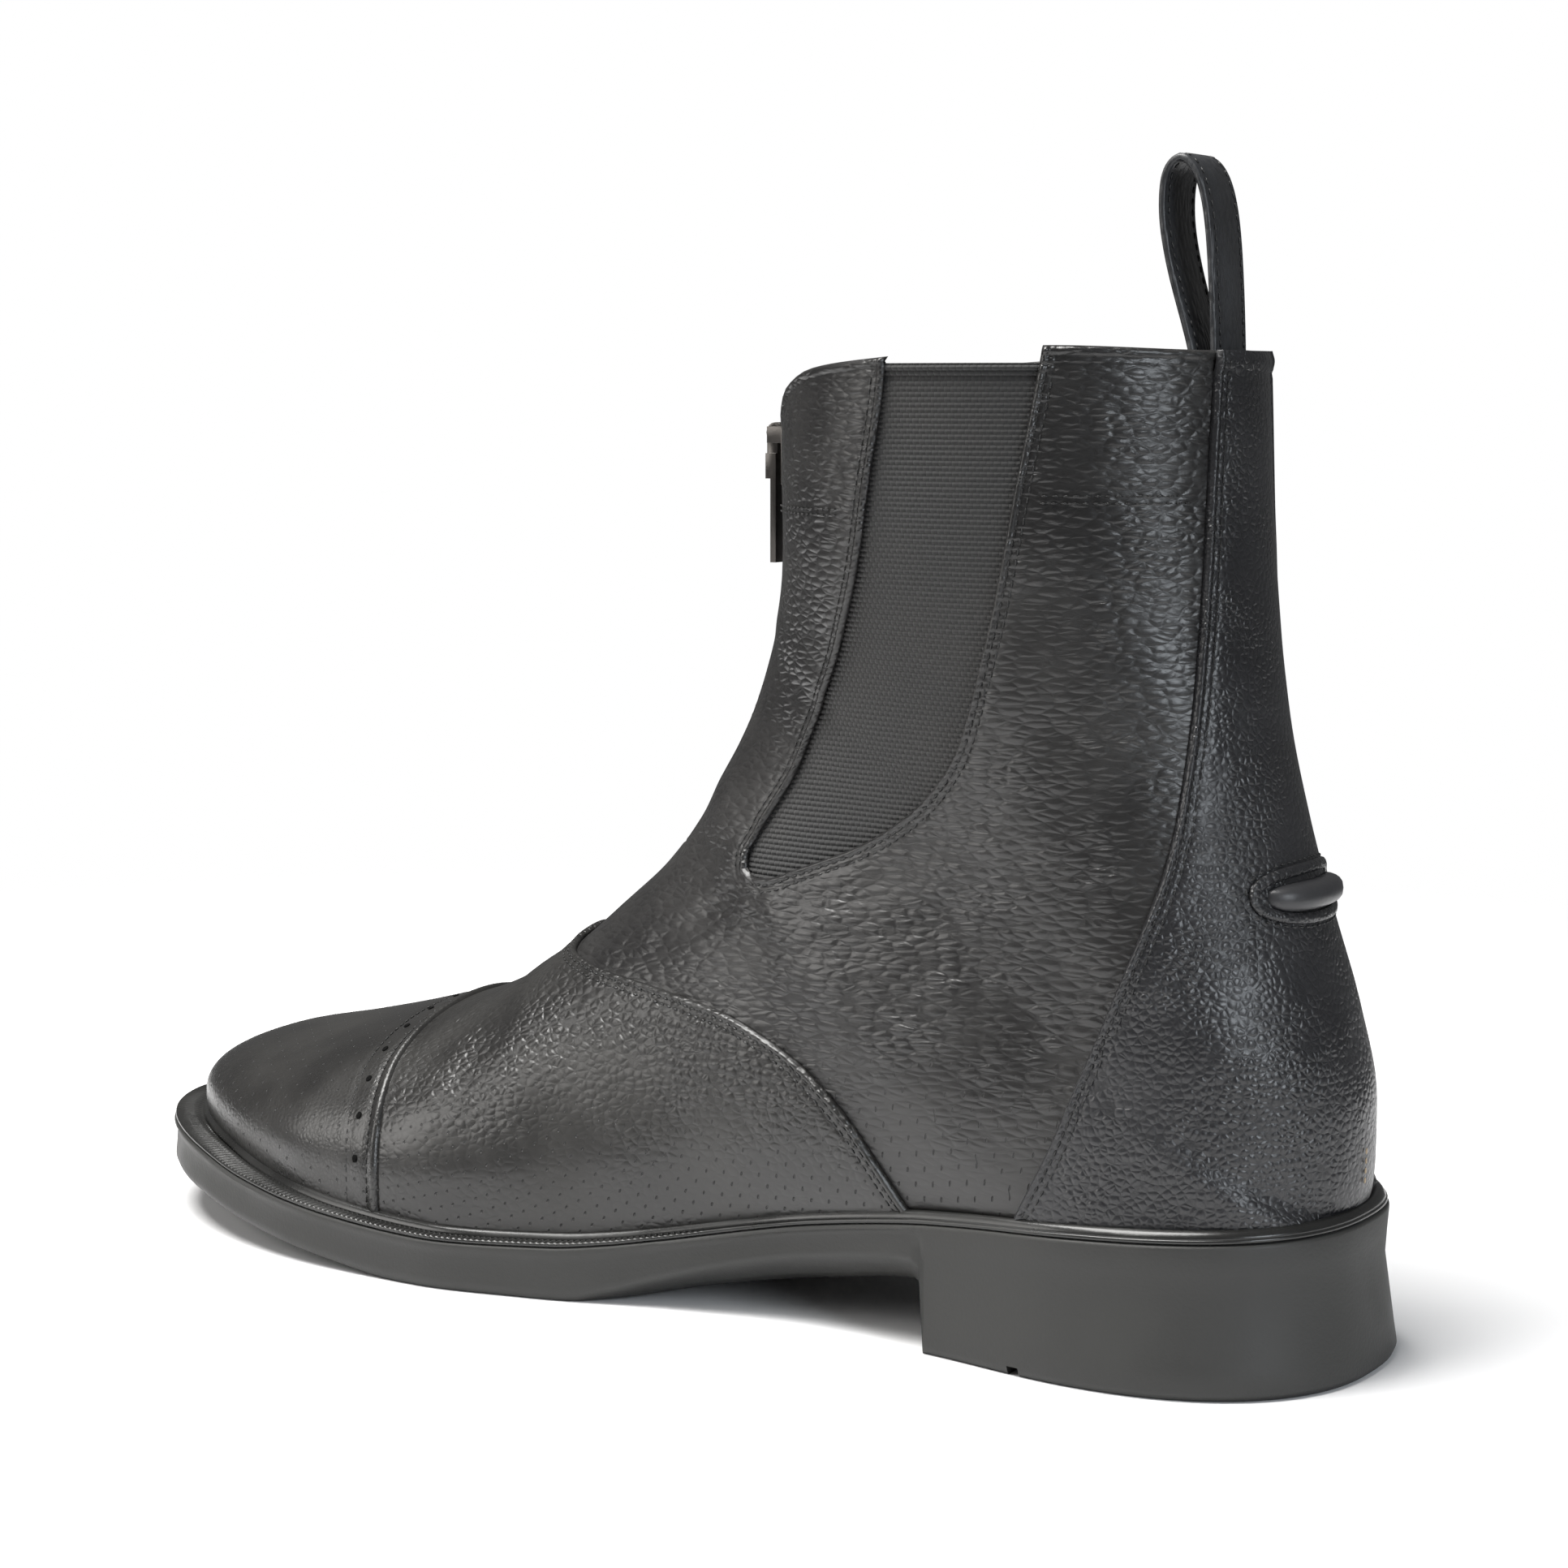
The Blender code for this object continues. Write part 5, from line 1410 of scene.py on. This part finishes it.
# %% Floor
floor_bm = bmesh.new()
bmesh.ops.create_grid(floor_bm, x_segments=1, y_segments=1, size=6.0)
floor = in_scene("floor", as_mesh("floor", floor_bm))
PAPER = bpy.data.materials.new("White paper")
PAPER.use_nodes = True
tree = PAPER.node_tree
paper = tree.nodes["Principled BSDF"]
paper.inputs["Base Color"].default_value = (0.90, 0.90, 0.91, 1)
paper.inputs["Roughness"].default_value = 0.9
from_boot = vectors(tree, "ADD", tree.nodes.new("ShaderNodeTexCoord").outputs["Object"], (0.0, 0.12, 0.0))
reach = vectors(tree, "LENGTH", from_boot, output="Value")
tree.links.new(span(tree, reach, 0.26, 0.62, 1.0, 0.0), paper.inputs["Alpha"])
floor.data.materials.append(PAPER)


# %% Lights
def softbox(name, at, aim, size, power, colour):
    lamp = bpy.data.lights.new(name, "AREA")
    lamp.shape, lamp.size, lamp.size_y, lamp.energy, lamp.color = "RECTANGLE", size[0], size[1], power, colour
    made = in_scene(name, lamp)
    made.location = at
    made.rotation_euler = (Vector(aim) - Vector(at)).to_track_quat("-Z", "Y").to_euler()


TARGET = (0.0, -0.08, 0.09)
softbox("overhead", (0.22, -0.30, 1.05), TARGET, (0.7, 0.7), 25.0, (1.0, 0.99, 0.97))
softbox("front_fill", (0.75, -0.95, 0.55), TARGET, (0.5, 0.7), 5.0, (1.0, 0.98, 0.95))
softbox("heel_side", (0.45, 1.00, 0.45), TARGET, (0.35, 0.6), 6.0, (0.88, 0.94, 1.0))
TENT_LIGHT = 0.13
world = bpy.data.worlds.new("Tent")
bpy.context.scene.world = world
world.use_nodes = True
world.node_tree.nodes["Background"].inputs["Color"].default_value = (1.0, 1.0, 1.0, 1)
ray = world.node_tree.nodes.new("ShaderNodeLightPath")
seen = span(world.node_tree, ray.outputs["Is Camera Ray"], 0.0, 1.0, TENT_LIGHT, 1.0)
world.node_tree.links.new(seen, world.node_tree.nodes["Background"].inputs["Strength"])
bpy.context.scene.view_settings.view_transform = "Standard"

# %% Camera
PICTURE, FOCAL_PIXELS, HORIZON_ROW = 1932.0, 4155.0, 479.0
lens = bpy.data.cameras.new("camera")
lens.sensor_fit, lens.sensor_width = "HORIZONTAL", 36.0
lens.lens = 36.0 * FOCAL_PIXELS / PICTURE
lens.shift_y = (HORIZON_ROW - PICTURE / 2) / PICTURE
lens.clip_start, lens.clip_end = 0.01, 30.0
camera = in_scene("camera", lens)
camera.location = (0.6142, 0.2831, 0.1891)
camera.rotation_euler = Vector((-0.8526, -0.5225, 0.0)).to_track_quat("-Z", "Y").to_euler()
bpy.context.scene.camera = camera

# %% Update the view layer
bpy.context.view_layer.update()
